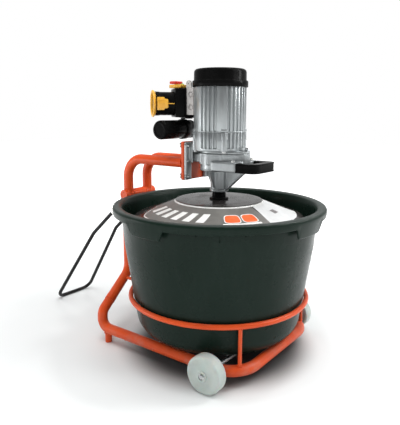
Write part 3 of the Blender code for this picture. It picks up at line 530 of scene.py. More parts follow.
def plastic(name, colour, shade, gloss=(0.25, 0.4), grain=0.08, grain_scale=1500, dust=0.10,
            dust_colour=(0.34, 0.32, 0.29), scuff=0.4, specular=0.5):
    """Moulded plastic: fine spark texture, scuffs with paler colour, a little dust."""
    r = Recipe(name)
    scratch = r.spread(r.noise(70, 7, 0.7, (1.0, 1.0, 0.08), 0.6), 0.60, 0.70)
    marks = r.times(scratch, r.spread(r.noise(11, 3), 0.48, 0.66, 0.0, scuff))
    pale = [min(1.0, c * 1.7 + 0.03) for c in colour]
    base = r.mix(marks, r.mottle(14, 4, colour, shade), pale)
    rim = r.times(r.edges(0.0009), r.spread(r.noise(90, 4), 0.40, 0.65, 0.0, 0.35))
    base = r.mix(rim, base, pale)
    dust_and_sheen = r.times(r.facing_up(), r.spread(r.noise(38, 6, 0.6), 0.35, 0.75, 0.0, dust))
    base = r.mix(dust_and_sheen, base, dust_colour)
    rough = r.plus(r.spread(r.noise(34, 5), 0.3, 0.7, *gloss),
                   r.plus(r.times(marks, 0.2), r.times(dust_and_sheen, 0.4)))
    skin = r.bump(r.noise(grain_scale, 2), grain, 0.0002)
    return r.finish(base, rough, 0.0, skin, Specular_IOR_Level=specular)


def bare_metal(name, colour, shade, gloss, streak, grain, grain_scale, metallic, dirt):
    """Uncoated metal: streaked or grainy, brighter on rubbed edges, grime in patches."""
    r = Recipe(name)
    base = r.mix(r.spread(r.noise(46, 5, 0.6, streak), 0.3, 0.72), colour, shade)
    base = r.mix(r.times(r.edges(), 0.55), base, [min(1.0, c * 1.35) for c in colour])
    patch = r.spread(r.noise(24, 6, 0.65), 0.52, 0.78)
    base = r.mix(r.times(patch, dirt), base, [c * 0.45 for c in shade])
    rough = r.spread(r.noise(120, 5, 0.6, streak), 0.25, 0.75, *gloss)
    skin = r.bump(r.noise(grain_scale, 3, 0.6, streak), grain, 0.0002)
    return r.finish(base, r.plus(rough, r.times(patch, 0.12)), metallic, skin)


def plated(name):
    """Bright zinc with a faint blue and yellow cast and a fine spangle."""
    r = Recipe(name)
    tint = r.mix(r.spread(r.noise(60, 3), 0.35, 0.65), (0.60, 0.63, 0.66), (0.63, 0.62, 0.58))
    base = r.mix(r.spread(r.cells(700), 0.1, 0.8, 0.0, 0.12), tint, (0.40, 0.42, 0.45))
    base = r.mix(r.times(r.edges(), 0.4), base, (0.8, 0.8, 0.8))
    rough = r.spread(r.noise(200, 4), 0.3, 0.7, 0.22, 0.42)
    return r.finish(base, rough, 0.95, r.bump(r.noise(1500, 2), 0.12, 0.0002))


def nylon(name):
    """Natural cast nylon: translucent, faintly marbled, with floor dirt on the tread."""
    r = Recipe(name)
    low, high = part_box("wheel_left")
    centre = (low + high) / 2
    radius = (high.z - low.z) / 2
    distance = r.length(r.less(r.axis(0), centre.x), r.less(r.axis(2), centre.z))
    tread = r.spread(distance, radius * 0.93, radius, 0.05, 0.33)
    scuffs = r.spread(r.noise(120, 7, 0.72, (1, 1, 1), 0.8), 0.58, 0.74)
    base = r.mix(r.times(scuffs, tread), r.mottle(32, 4, (0.52, 0.57, 0.54), (0.46, 0.51, 0.48)),
                 (0.20, 0.18, 0.15))
    rough = r.spread(r.noise(80, 5), 0.3, 0.7, 0.36, 0.55)
    return r.finish(base, rough, 0.0, r.bump(r.noise(500, 3), 0.12, 0.0003),
                    Subsurface_Weight=0.22, Subsurface_Scale=0.006)


def tub_plastic(name):
    """Dark green-black polyethylene: faint vertical flow marks, scuffed rim, and a painted sheen on the
    up-facing rim top, mottled like mortar dust.
    """
    r = Recipe(name)
    base = r.mottle(5, 3, (0.0062, 0.0150, 0.0105), (0.0085, 0.0185, 0.0135))
    flow = r.spread(r.noise(60, 4, 0.6, (1, 1, 0.05)), 0.40, 0.75, 0.0, 0.2)
    base = r.mix(flow, base, (0.018, 0.027, 0.022))
    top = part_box("tub")[1].z
    # Painted sheen: the up-facing top of the rim turns paler grey in faint patches, standing in for the
    # rim top's reflection, partly mortar dust.
    rim = r.spread(r.axis(2), top - 16 * MM, top - 2 * MM)
    dust_and_sheen = r.times(r.facing_up(), r.spread(r.noise(22, 6, 0.6), 0.25, 0.8, 0.55, 1.0))
    base = r.mix(r.times(r.times(dust_and_sheen, rim), 0.45), base, (0.115, 0.122, 0.120))
    scratch = r.spread(r.noise(52, 8, 0.72, (0.4, 0.4, 2.2), 0.9), 0.63, 0.70)
    marks = r.times(scratch, r.spread(r.noise(7, 3), 0.50, 0.65))
    base = r.mix(r.times(marks, 0.22), base, (0.085, 0.095, 0.088))
    specks = r.times(r.spread(r.noise(300, 3, 0.6), 0.70, 0.76),
                     r.spread(r.noise(18, 4), 0.52, 0.66, 0.0, 0.35))
    base = r.mix(specks, base, (0.22, 0.21, 0.19))
    rough = r.plus(r.spread(r.noise(16, 5), 0.3, 0.7, 0.24, 0.34),
                   r.plus(r.times(rim, 0.10), r.times(marks, 0.18)))
    skin = r.bump(r.noise(1100, 2), 0.10, 0.0003)
    skin = r.bump(r.noise(24, 2, 0.5, (1, 1, 0.25)), 0.25, 0.0012, skin)
    return r.finish(base, rough, 0.0, skin, Specular_IOR_Level=0.10)


def copper_windings(name):
    r = Recipe(name)
    wire = r.add("TexWave", {"Vector": r.place, "Scale": 300, "Distortion": 2.0}, "Fac",
                 bands_direction="Z")
    base = r.mix(wire, (0.42, 0.15, 0.05), (0.60, 0.27, 0.11))
    base = r.mix(r.spread(r.noise(40, 5), 0.45, 0.7), base, (0.16, 0.07, 0.03))
    rough = r.spread(r.noise(90, 4), 0.3, 0.7, 0.25, 0.5)
    return r.finish(base, rough, 0.85, r.bump(wire, 0.5, 0.0004))


class Lid:
    """Where the print sits on the lid: radii in millimetres, angles in degrees."""

    line = 0.35
    ring = (124.0, 127.5)
    band = (127.5, 216.0)
    band_turn = (-150.0, -13.0)
    wedge_end = 44.0
    bars = (153.0, 190.0)
    bar_turn = (-131.0, -60.5)
    bar_pitch = 11.8
    badge = (157.0, 189.0)
    blocks = ((-50.5, -37.5), (-35.0, -22.0))


def lid_print(name):
    """Gloss black lid: grey band, pale wedge, plain white bars and two orange blocks."""
    r = Recipe(name)
    x = r.times(r.less(r.axis(0), AXIS.x), 1 / MM)
    y = r.times(r.axis(1), 1 / MM)
    radius = r.length(x, y)
    angle = r.times(r.calc("ARCTAN2", y, x), 180 / math.pi)
    both = r.times
    either = r.most

    def above(value, edge, soft=Lid.line):
        return r.spread(value, edge - soft, edge + soft)

    def inside(value, low, high, soft=Lid.line):
        return both(above(value, low, soft), r.less(1.0, above(value, high, soft)))

    def block(ends, grow):
        """A rounded block across the badge, grown by some millimetres."""
        low, high = Lid.badge
        middle, half = sum(ends) / 2, (ends[1] - ends[0]) / 2
        dx = r.calc("DIVIDE", r.less(angle, middle), half + grow * 0.35)
        dy = r.calc("DIVIDE", r.less(radius, (low + high) / 2), (high - low) / 2 + grow)
        powers = [r.calc("POWER", r.calc("ABSOLUTE", part), 4.0) for part in (dx, dy)]
        return r.spread(r.plus(*powers), 1.08, 0.92)

    start, end = Lid.band_turn
    # The band narrows towards its rounded left end.
    outer = r.less(Lid.band[1], r.spread(angle, start, start + 26, 40.0, 0.0))
    past = r.less(radius, outer)
    across = both(above(radius, Lid.band[0]), r.less(1.0, above(past, 0.0)))
    band = both(across, inside(angle, start, end, 0.25))
    leaning = r.less(angle, r.times(r.less(radius, 170.0), -0.06))
    wedge = both(inside(radius, Lid.band[0], Lid.band[1] + 4),
                 inside(leaning, end, Lid.wedge_end, 0.25))
    printed = either(band, wedge)

    rim_line = both(inside(past, -0.5, 3.0), inside(angle, start + 2, -104, 0.6))
    long_line = both(inside(radius, 219.5, 221.0), inside(angle, -112, -16, 0.6))
    ring_line = both(inside(radius, *Lid.ring), inside(angle, start + 2, Lid.wedge_end, 0.4))
    lines = either(either(rim_line, ring_line), r.times(long_line, 0.6))

    first, last = Lid.bar_turn
    slanted = r.plus(angle, r.times(r.less(radius, 170.0), 0.10))
    phase = r.calc("FRACT", r.calc("DIVIDE", r.less(slanted, first), Lid.bar_pitch))
    stripes = both(inside(phase, 0.04, 0.60, 0.02), inside(slanted, first, last, 0.1))
    bars = both(stripes, inside(radius, *Lid.bars))

    underline = both(inside(radius, 192.5, 199.5), inside(angle, -52.0, -21.5, 0.2))
    edging = either(block(Lid.blocks[0], 1.6), block(Lid.blocks[1], 1.6))
    blocks = either(block(Lid.blocks[0], -0.4), block(Lid.blocks[1], -0.4))
    patch = both(inside(radius, 158, 175), inside(angle, 4.0, 12.0, 0.2))
    dust = both(r.spread(r.noise(20, 6, 0.65), 0.46, 0.75), r.facing_up())

    white = r.mottle(60, 4, (0.76, 0.76, 0.74), (0.68, 0.68, 0.66))
    colour = r.mottle(30, 5, (0.020, 0.018, 0.017), (0.030, 0.027, 0.026))
    for area, ink in ((band, r.mottle(44, 5, (0.130, 0.127, 0.118), (0.155, 0.150, 0.140))),
                      (wedge, r.mottle(30, 4, (0.62, 0.63, 0.63), (0.56, 0.57, 0.57))),
                      (lines, white),
                      (either(bars, either(edging, underline)), white),
                      (blocks, r.mottle(60, 4, (0.75, 0.13, 0.035), (0.66, 0.10, 0.025))),
                      (patch, (0.16, 0.15, 0.15)),
                      (r.times(dust, 0.07), (0.40, 0.37, 0.33))):
        colour = r.mix(area, colour, ink)
    rough = r.plus(r.spread(r.noise(40, 5), 0.3, 0.7, 0.14, 0.24),
                   r.plus(r.times(printed, 0.20), r.times(dust, 0.12)))
    normal = r.bump(r.noise(26, 3), 0.10, 0.0008, r.bump(printed, 0.35, 0.00015))
    return r.finish(colour, rough, 0.0, normal, Specular_IOR_Level=0.30)


MATERIALS = {
    "orange_paint": painted("orange_paint", (0.70, 0.088, 0.020), (0.60, 0.068, 0.015)),
    "black_paint": painted("black_paint", (0.006, 0.006, 0.007), (0.009, 0.009, 0.010), 0.06),
    "tub_plastic": tub_plastic("tub_plastic"),
    "black_plastic": plastic("black_plastic", (0.004, 0.004, 0.004), (0.006, 0.006, 0.006),
                             (0.18, 0.30), dust=0.03, scuff=0.12, specular=0.03),
    "cast_aluminium": bare_metal("cast_aluminium", (0.40, 0.425, 0.43), (0.33, 0.35, 0.36),
                                 (0.28, 0.42), (1, 1, 0.18), 0.12, 700, 0.65, 0.15),
    "zinc": plated("zinc"),
    "steel": bare_metal("steel", (0.42, 0.42, 0.43), (0.34, 0.34, 0.35), (0.26, 0.42),
                        (1, 1, 3), 0.15, 800, 1.0, 0.3),
    "nylon": nylon("nylon"),
    "yellow_plastic": plastic("yellow_plastic", (0.86, 0.46, 0.055), (0.78, 0.40, 0.045),
                              (0.28, 0.42)),
    "red_plastic": plastic("red_plastic", (0.62, 0.035, 0.022), (0.55, 0.028, 0.018)),
    "green_plastic": plastic("green_plastic", (0.16, 0.42, 0.05), (0.12, 0.35, 0.04)),
    "grey_plastic": plastic("grey_plastic", (0.50, 0.48, 0.46), (0.44, 0.42, 0.41), (0.38, 0.52),
                            0.15, 1300, 0.12, (0.2, 0.19, 0.17)),
    "lid_plastic": lid_print("lid_plastic"),
    "copper": copper_windings("copper"),
}


# --- Tub -----------------------------------------------------------------------------

TUB_LOW, TUB_HIGH = span("tub")
RIM_R = TUB_HIGH.x
TUB_TOP = TUB_HIGH.z
GRIPS = [-4.0 + 90.0 * quarter for quarter in range(4)]
GRIP_HALF = 12.0


def wall_radius(height):
    """Outside of the tub's wall, which leans out and straightens towards the rim."""
    knots = [(106, 238.6), (163, 247.8), (232, 256.8), (285, 264.9), (321, 270.0), (405, 276.3),
             (430, 277.5)]
    for (low, first), (high, second) in zip(knots, knots[1:]):
        if height <= high:
            return first + (second - first) * (height - low) / (high - low)
    return knots[-1][1]


def tub_rows(drop):
    """The tub's cut profile; drop from 0 to 1 lowers the skirt under a hand grip."""
    bottom = TUB_LOW.z
    top = TUB_TOP
    rows = [(0, bottom + 1.2), (60, bottom + 1.2), (120, bottom + 1.2), (150, bottom + 1.0)]
    rows += [(160, bottom), (180, bottom)]
    rows += arc((184, bottom + 55), 55, -84, -8, 12)
    heights = [112, 130, 150, 175, 200, 225, 250, 275, 300, 321, 340, 360, 375, 390, 404]
    rows += [(wall_radius(height), height) for height in heights]
    rows += [(wall_radius(412) + 0.5, 413), (wall_radius(418) + 3.5, 417.5)]
    lean = 6.5 * drop
    low = 405.5 - 27.0 * drop
    rows += [(292.0 - lean * 0.2, 417.5), (295.5 - lean * 0.3, 415)]
    rows += [(295.8 - lean * 0.5, 410), (296.0 - lean * 0.8, low + 3), (296.2 - lean, low + 0.8)]
    rows += [(297.0 - lean, low), (298.8 - lean, low), (299.8 - lean, low + 0.8)]
    rows += [(300.2 - lean * 0.8, low + 3), (300.6 - lean * 0.35, 410)]
    rows += [(RIM_R - 0.2, 416), (RIM_R, 420.5)]
    rows += arc((RIM_R - 8.5, top - 8.5), 8.5, 8, 84, 7)
    rows += [(286, top + 0.0), (280.5, top - 1.0), (276.8, top - 2.8), (274.3, top - 6.5)]
    inner = list(reversed(heights))
    rows += [(wall_radius(height) - 4, height) for height in inner]
    rows += arc((184, bottom + 55), 51, -8, -86, 8)
    rows += [(150, bottom + 4.2), (60, bottom + 4.2), (0, bottom + 4.2)]
    return rows


def tub_angles():
    angles = {round(360 * step / 144, 3) for step in range(144)}
    for middle in GRIPS:
        for side in (-1, 1):
            for offset in (-3.2, -2.7, -2.2, -1.7, -1.2, -0.7, -0.3, 0.0, 0.3, 0.9):
                angles.add(round((middle + side * (GRIP_HALF + offset)) % 360, 3))
    return sorted(angles)


def make_tub():
    bm = bmesh.new()
    columns = []
    angles = tub_angles()
    rows = len(tub_rows(0))
    bottom = bm.verts.new((0, 0, tub_rows(0)[0][1]))
    floor = bm.verts.new((0, 0, tub_rows(0)[-1][1]))
    for angle in angles:
        off = min(abs((angle - middle + 180) % 360 - 180) for middle in GRIPS)
        drop = min(1.0, max(0.0, (GRIP_HALF + 0.3 - off) / 2.6))
        column = [bottom]
        for radius, height in tub_rows(drop)[1:-1]:
            column.append(bm.verts.new((*polar(radius, angle), height)))
        column.append(floor)
        columns.append(column)
    for first, second in zip(columns, columns[1:] + columns[:1]):
        bm.faces.new((first[0], second[1], first[1]))
        for row in range(1, rows - 2):
            bm.faces.new((first[row], second[row], second[row + 1], first[row + 1]))
        bm.faces.new((first[rows - 2], second[rows - 2], first[rows - 1]))
    tub = to_object("tub_shell", bm, 45)
    marks = []
    for angle, width, low, high in ((-54.8, 3.2, 384, 398), (-66.5, 4.0, 396.5, 400.5),
                                    (-42.0, 4.0, 396.5, 400.5), (125.2, 3.2, 384, 398)):
        mark = rounded_box((wall_radius(391) - 1.6, 284), (-width / 2, width / 2), (low, high), 0.8, 2)
        marks.append(turned(mark, "Z", angle))
    cut(tub, *marks)
    shade(tub, 45)
    piece("tub_shell", tub, "tub_plastic", "tub")


# --- Chassis ---------------------------------------------------------------------------

SIDES = (("left", -1), ("right", 1))
TUBE_R = 15.0
BASE_CORNER = span("base_frame")[1]
BASE_Y = BASE_CORNER.y - TUBE_R
BASE_FRONT = BASE_CORNER.x - TUBE_R
BASE_REAR = -285.0
BASE_Z = 42.4
FOOT_X = -262.0
HINGE = middle_of("hinge_pin")
UPRIGHT_Y = 52.0
ARM_Y = 42.7
RING_ROD = 7.0
RING_R = span("cradle_ring")[1].x - RING_ROD
RING_Z = span("cradle_ring")[1].z - RING_ROD
POST_R = 5.0
POST_ANGLE = 42.6
WHEEL = middle_of("wheel_left")
WHEEL_R = span("wheel_left")[1].z - WHEEL.z


def slant_points(side):
    """Where an upright's slanting part leaves the base, where it turns up, and its joint."""
    low = Vector((BASE_REAR, side * BASE_Y, 92.0))
    high = Vector((HINGE.x, side * UPRIGHT_Y, 178.0))
    return low, high, low.lerp(high, 0.24)


def make_base_frame():
    left_low, _, left_joint = slant_points(-1)
    right_low, _, right_joint = slant_points(1)
    corners = [left_joint, left_low, (BASE_REAR, -BASE_Y, BASE_Z), (BASE_FRONT, -BASE_Y, BASE_Z),
               (BASE_FRONT, BASE_Y, BASE_Z), (BASE_REAR, BASE_Y, BASE_Z), right_low, right_joint]
    shapes = [tube(round_path(corners, (26.0, 28.0, 80.0, 80.0, 28.0, 26.0)), TUBE_R, 32)]
    foot = [(0, 0), (8.6, 0), (9.6, 0.5), (10, 1.5), (10, BASE_Z - 6), (0, BASE_Z - 6)]
    boss = [(6.6, -14), (9.5, -14), (9.5, 3.4), (8.6, 4.4), (6.6, 4.4)]
    for _, side in SIDES:
        y = side * BASE_Y
        shapes.append(moved(lathe(foot, 32), FOOT_X, y))
        shapes.append(ring_weld((FOOT_X, y, BASE_Z - TUBE_R + 2.2), "Z", 10.6, 2.0, side, 40))
        whole = towards(side, along_y(lathe(boss, 32)))
        shapes.append(moved(whole, WHEEL.x, y + side * (TUBE_R + 0.5), WHEEL.z))
    piece("base_tube", gathered(*shapes), "orange_paint", "base_frame")


def make_cradle():
    shapes = [torus(RING_R, RING_ROD, RING_Z)]
    x, post_y = polar(RING_R, POST_ANGLE)
    foot = BASE_Z + TUBE_R + 0.3
    for _, side in SIDES:
        y = side * post_y
        shapes.append(tube([(x, y, foot), (x, y, RING_Z - 2)], POST_R, 20, 0.4))
        shapes.append(ring_weld((x, y, foot + 1.6), "Z", 5.2, 1.7, 3 + side))
        shapes.append(ring_weld((x, y, RING_Z - RING_ROD + 0.4), "Z", 5.0, 1.6, 5 + side))
    seam = ring_path((*polar(RING_R, 150), RING_Z), (*polar(1, 240), 0), RING_ROD - 0.3, 28)
    shapes.append(bead(seam, 1.3, 9))
    piece("cradle_hoop", gathered(*shapes), "orange_paint", "cradle_ring")


def make_uprights():
    for name, side in SIDES:
        low, high, joint = slant_points(side)
        along = (high - low).normalized()
        top = Vector((HINGE.x, side * UPRIGHT_Y, HINGE.z - TUBE_R - 2.0))
        path = round_path([joint + along * 0.3, high, top], (45.0,))
        swage = [joint + along * reach for reach in (0.5, 5.3, 17.3, 18.9)]
        stay = low.lerp(high, 0.80)
        inner = math.sqrt((RING_R + RING_ROD) ** 2 - (abs(stay.y) - POST_R) ** 2) + 0.4
        shapes = [tube(path, TUBE_R, 32, 0.6), tube(swage, TUBE_R + 0.55, 32, 0.8),
                  tube([(-inner, stay.y, RING_Z), (stay.x, stay.y, RING_Z)], POST_R, 20, 0.4),
                  ring_weld((stay.x + 13.2, stay.y, RING_Z), "X", 5.4, 1.8, side)]
        piece(f"upright_tube_{name}", gathered(*shapes), "orange_paint", f"upright_{name}")


def make_crossbar():
    inner = UPRIGHT_Y - TUBE_R - 0.3
    low = HINGE.z - 35
    shapes = [moved(along_y(disc(12, -inner, inner)), HINGE.x, 0, low),
              moved(along_y(collar(6.4, 15, -23.5, 23.5)), HINGE.x, 0, HINGE.z),
              rounded_box((HINGE.x - 5, HINGE.x + 5), (-20, 20), (low + 4, HINGE.z - 13), 0.8)]
    for y in (-20, 20):
        for height in (low + 12, HINGE.z - 15):
            line = [(HINGE.x - 5, y * 0.98, height), (HINGE.x + 5, y * 0.98, height)]
            shapes.append(bead(line, 1.8, y + height))
    for x in (HINGE.x - 5.6, HINGE.x + 5.6):
        for height in (low + 11.6, HINGE.z - 14.6):
            line = [(x, -20 + 2.5 * step, height) for step in range(17)]
            shapes.append(bead(line, 2.0, x + height))
    piece("hinge_cross_tube", gathered(*shapes), "orange_paint", "hinge_crossbar")


def make_arms():
    end = span("arm_plate")[0].x - 0.4
    top = span("arm_left")[1].z - TUBE_R
    for name, side in SIDES:
        y = side * ARM_Y
        path = round_path([(HINGE.x, y, HINGE.z), (HINGE.x, y, top), (end, y, top)], (60.0,), 20)
        shapes = [tube(path, TUBE_R, 32, 0.4)]
        sleeve = collar(6.4, 15.4, 23.9, 66.2, 1.2, 3)
        cap = turning([(0, 63.6), (6.6, 63.6), (6.6, 66.0), (0, 66.3)], 0.4, 1, 32)
        for bm in (sleeve, cap):
            shapes.append(moved(towards(side, along_y(bm)), HINGE.x, 0, HINGE.z))
        saddle = []
        for step in range(49):
            dx, dy = polar(15.3, 7.5 * step)
            saddle.append((HINGE.x + dx, y + dy, HINGE.z + math.sqrt(15.6 ** 2 - dx ** 2) * 0.98))
        shapes.append(bead(saddle, 1.6, side))
        shapes.append(ring_weld((end - 1.5, y, top), "X", 15.4, 2.3, 7 + side, 48))
        piece(f"arm_tube_{name}", gathered(*shapes), "orange_paint", f"arm_{name}")


def make_wheels():
    for name, side in SIDES:
        inner, outer = sorted(abs(corner.y) for corner in span(f"wheel_{name}"))
        middle = (outer - 3.0 + inner) / 2
        half = middle - inner
        face = [(6.3, half + 3.0), (10.6, half + 3.0), (12.4, half + 2.4), (13.4, half + 0.6),
                (14.2, half - 1.2), (16.0, half - 2.0), (24.0, half - 2.6), (32.0, half - 2.5),
                (38.0, half - 1.6), (42.0, half - 0.7), (45.0, half - 0.7), (47.6, half - 1.8),
                (49.4, half - 4.2), (WHEEL_R, half - 7.0)]
        back = [(WHEEL_R, 7.0 - half), (49.6, 4.2 - half), (48.2, 1.8 - half), (45.6, 0.7 - half),
                (41, 0.7 - half), (39, 3.6 - half), (21, 3.6 - half), (18, 0.6 - half),
                (12, 0.0 - half), (6.3, 0.0 - half)]
        wheel = moved(towards(side, along_y(lathe(face + back, 112))), WHEEL.x, side * middle, WHEEL.z)
        piece(f"nylon_wheel_{name}", wheel, "nylon", f"wheel_{name}", sharp=28)


def make_axle():
    end = span("wheel_axle")[1].y
    tip = [(6, end - 2.0), (5.7, end - 1.0), (4.8, end), (0, end)]
    profile = [(radius, -height) for radius, height in reversed(tip)] + tip
    piece("axle_rod", moved(along_y(lathe(profile, 32)), WHEEL.x, 0, WHEEL.z), "zinc", "wheel_axle")
    for name, side in SIDES:
        near, far = sorted(abs(corner.y) for corner in span(f"axle_cap_{name}"))
        shell = [(6.25, near), (9.0, near), (9.0, near + 1.2), (7.6, far - 0.6), (6.25, far)]
        shapes = [turning(shell, 0.4)]
        for step in range(6):
            lug = rounded_box((7.0, 9.6), (-1.1, 1.1), (near, near + 1.1), 0.3, 1)
            shapes.append(turned(lug, "Z", 60 * step))
        whole = moved(towards(side, along_y(gathered(*shapes))), WHEEL.x, 0, WHEEL.z)
        piece(f"push_cap_{name}", whole, "zinc", f"axle_cap_{name}")


def make_rear_handle():
    rod_r = 6.0
    eye_y = 52.0
    pivot = middle_of("handle_pivot_left")
    low, high = span("rear_handle")
    right = [(pivot.x, eye_y, pivot.z), (-483.0, eye_y, 275.0),
             (low.x + rod_r, high.y - rod_r, low.z + rod_r)]
    left = [(x, -y, z) for x, y, z in right]
    path = round_path(left + right[::-1], (50.0, 30.0, 30.0, 50.0), 12)
    shapes = [tube(path, rod_r, 20)]
    for _, side in SIDES:
        eye = along_y(collar(4.3, 11, -5.5, 5.5, 1.0, 3))
        shapes.append(moved(eye, pivot.x, side * eye_y, pivot.z))
    piece("carry_handle", gathered(*shapes), "black_paint", "rear_handle")


# --- Motor -----------------------------------------------------------------------------

RIB_PITCH = 10.3
RIB_GROUPS = ((0, 7), (-81, 3), (81, 3))
MOTOR_R = 72.3
VALLEY_R = 67.2


def rib_radius(angle, wide):
    """Radius of the finned casing at an angle: rounded ribs between smooth pads."""
    radius = MOTOR_R
    for middle, count in RIB_GROUPS:
        for gap in range(count + 1):
            centre = middle + (gap - count / 2) * RIB_PITCH
            off = abs((angle - centre + 180) % 360 - 180)
            depth = 1.0 - smoothstep(wide * 0.45, wide, off)
            radius = min(radius, MOTOR_R - (MOTOR_R - VALLEY_R) * depth)
    return radius


def finned(low, high, wide=3.6, bore=62.0, flare=0.0, steps=480):
    """A tube with the finned outside, its edges eased and its bore open."""
    bm = bmesh.new()
    rings = []
    for height, ease in ((low, -0.8), (low + 0.5, -0.25), (low + 1.3, 0.0), (high - 1.3, 0.0),
                         (high - 0.5, -0.25), (high, -0.8)):
        grow = ease + flare * (high - height) / (high - low)
        ring = []
        for step in range(steps):
            angle = 360 * step / steps
            ring.append(bm.verts.new((*polar(rib_radius(angle, wide) + grow, angle), height)))
        rings.append(ring)
    for height in (high, low):
        rings.append([bm.verts.new((*polar(bore, 360 * k / steps), height)) for k in range(steps)])
    return skin_rings(bm, rings, closed=True)


def make_motor():
    low, high = (corner.z for corner in span("stator_housing"))
    foot, top = (corner.z for corner in span("motor_shield"))
    base = [(19, foot), (70.5, foot), (72.0, foot + 8), (60, foot + 8), (19, foot + 8)]
    casing = [finned(low, high)]
    shield = [finned(foot + 6, top, 3.9, 58.0, -0.6), turning(base, steps=128),
              collar(18.5, 25, foot + 3, foot + 34, steps=64)]
    for angle in (45, 135, 225, 315):
        shield.append(moved(collar(2.9, 8, foot, top, 1.0, 3), *polar(68.0, angle)))
        pad = rounded_box((60, 74.6), (-9.0, 9.0), (top - 20, top - 0.2), 2.2)
        shield.append(turned(pad, "Z", angle))
        lip = rounded_box((60, 74.9), (-9.5, 9.5), (low + 0.1, low + 8), 1.8)
        casing.append(turned(lip, "Z", angle))
    casing.append(collar(70.6, 73.1, low + 0.1, low + 2.3, 0.5, 2, 160))
    piece("finned_casing", gathered(*casing), "cast_aluminium", "stator_housing", sharp=42)
    piece("lower_end_shield", gathered(*shield), "cast_aluminium", "motor_shield", sharp=42)


def make_cowl():
    low, high = span("fan_cowl")
    lip, base, top = high.x, low.z, high.z
    radius = 72.0
    outside = [(lip - 0.7, base), (lip, base + 0.9), (lip, base + 14.6), (lip - 0.9, base + 16.6),
               (radius + 0.7, base + 17.6), (radius, base + 19.5), (radius - 0.4, top - 10)]
    outside += arc((radius - 9.9, top - 10.0), 9.5, 4, 86, 9)
    outside += [(50, top - 0.2), (30, top), (0, top)]
    inside = [(0, top - 2.6), (30, top - 2.6), (56, top - 2.8)]
    inside += arc((radius - 9.9, top - 10.0), 6.9, 80, 4, 6)
    inside += [(radius - 2.7, base + 19), (lip - 2.9, base + 16), (lip - 2.9, base + 0.4),
               (lip - 2.3, base)]
    cowl = to_object("cowl", lathe(outside[::-1] + inside[::-1], 128), 40)
    slots = []
    for index in range(24):
        outer = 38 if index % 2 else 58
        slot = rounded_box((22, outer), (-1.6, 1.6), (top - 9, top + 4), 1.2, 2)
        slots.append(turned(slot, "Z", 15 * index))
    piece("fan_guard", shade(cut(cowl, gathered(*slots)), 40), "black_plastic", "fan_cowl")


# --- Gearbox ---------------------------------------------------------------------------

def hull_outline(first_r, second_x, second_r, steps=24):
    """The outline round two circles: one on the tub's axis, one in front of it."""
    lean = math.degrees(math.asin((first_r - second_r) / second_x))
    right = arc((second_x, 0), second_r, -(90 - lean), 90 - lean, steps)
    return right + arc((0, 0), first_r, 90 - lean, 270 + lean, 2 * steps)


def rib_plate(points, thickness, degrees):
    bm = bmesh.new()
    rings = []
    for side in (-1, 1):
        rings.append([bm.verts.new((x, side * thickness / 2, z)) for x, z in points])
    return turned(skin_rings(bm, rings), "Z", degrees)


def gear_casting_shapes(rear, top, body_top, bolts):
    """Everything that is melted into the casting, before its holes are cut."""
    body_low = 523.0
    shapes = [prism(hull_outline(54, 68, 27), body_low, body_top, 1.5),
              prism(hull_outline(54.9, 68, 27.9), body_top - 7, body_top, 1.0),
              prism(hull_outline(54.9, 68, 27.9), body_low, body_low + 4, 1.0),
              lathe([(0, 462), (23.2, 462), (24, 462.8), (25.5, 500), (27, 530), (0, 530)], 64),
              disc(26.4, 462, 470, 1.2, 3, 64),
              rib_plate([(15, 530), (86, 530), (88, 521), (84, 519), (25, 466), (15, 466)], 7, 0),
              rib_plate([(82, 523), (88, 521), (84, 518), (25, 465), (22, 468)], 13, 0)]
    for degrees in (90, 180, 270):
        fin = [(15, 530), (46, 530), (46, 520), (24, 474), (15, 474)]
        shapes.append(rib_plate(fin, 6, degrees))
    shapes += [rounded_box((10, 90), (-56, 56), (524.5, 551.5), 4.0),
               rounded_box((rear + 2, -20), (-33, 33), (544, 568), 2.5),
               rounded_box((rear, rear + 8), (-56, 56), (547, top), 2.0)]
    for degrees in (-125, -90, -48, 48, 90, 125):
        boss = turning([(0, 541), (6.5, 541), (7.2, body_top), (0, body_top)], 1.0, 2, 32)
        shapes.append(moved(boss, *polar(51.5, degrees)))
    for _, side in SIDES:
        for x, y, z, ease in (((rear, rear + 9), (32.0, 56.0), (493.0, top - 0.5), 2.0),
                              ((rear + 4, -62), (39.0, 43.5), (542, top - 3), 1.2),
                              ((rear + 4, rear + 16), (34.0, 55.0), (544, 548.5), 1.0)):
            shapes.append(rounded_box(x, sorted((side * y[0], side * y[1])), z, ease))
        for bolt in bolts:
            if bolt.y * side > 0:
                shapes.append(moved(along_x(disc(7.4, 2, 9.5)), rear, bolt.y, bolt.z))
    shapes.append(moved(disc(28.5, 535, body_top, 1.5, 3, 72), 67.5))
    return shapes


def make_gearbox():
    low, high = span("gearbox_housing")
    cover_low, cover_high = (corner.z for corner in span("gearbox_cover"))
    bolts = [middle_of(f"flange_bolt_{number}") for number in range(1, 5)]
    shapes = gear_casting_shapes(low.x, high.z, cover_low - 0.3, bolts)
    body = cast(to_object("casting", gathered(*shapes), 40), 1.2, 3, 0.30)
    cut(body, prism(hull_outline(38, 42, 35.5), 530, cover_low + 4.7),
        lathe([(0, 450), (18.3, 450), (18.3, 477), (15, 477), (15, 545), (0, 545)], 48))
    holes = [moved(along_x(rod(4.4, -12, 14, 24)), low.x, bolt.y, bolt.z) for bolt in bolts]
    for _, side in SIDES:
        pocket = sorted((side * 39.7, side * 52.3))
        holes.append(rounded_box((66, high.x + 15), pocket, (529.7, 546.3), 0))
    screws = [moved(rod(3.4, 540, 560, 24), 76, y) for y in (-46.0, 46.0)]
    cut(body, gathered(*holes), gathered(*screws))
    piece("gear_casting", shade(body, 48), "cast_aluminium", "gearbox_housing")
    shapes = [prism(hull_outline(54, 68, 27, 32), cover_low, cover_high, 1.0)]
    for x, y in ((90, 0), (82, -19), (82, 19)):
        shapes.append(screw_head(x, y, cover_high, 3.2, 1.8))
    piece("gear_cover", gathered(*shapes), "cast_aluminium", "gearbox_cover")


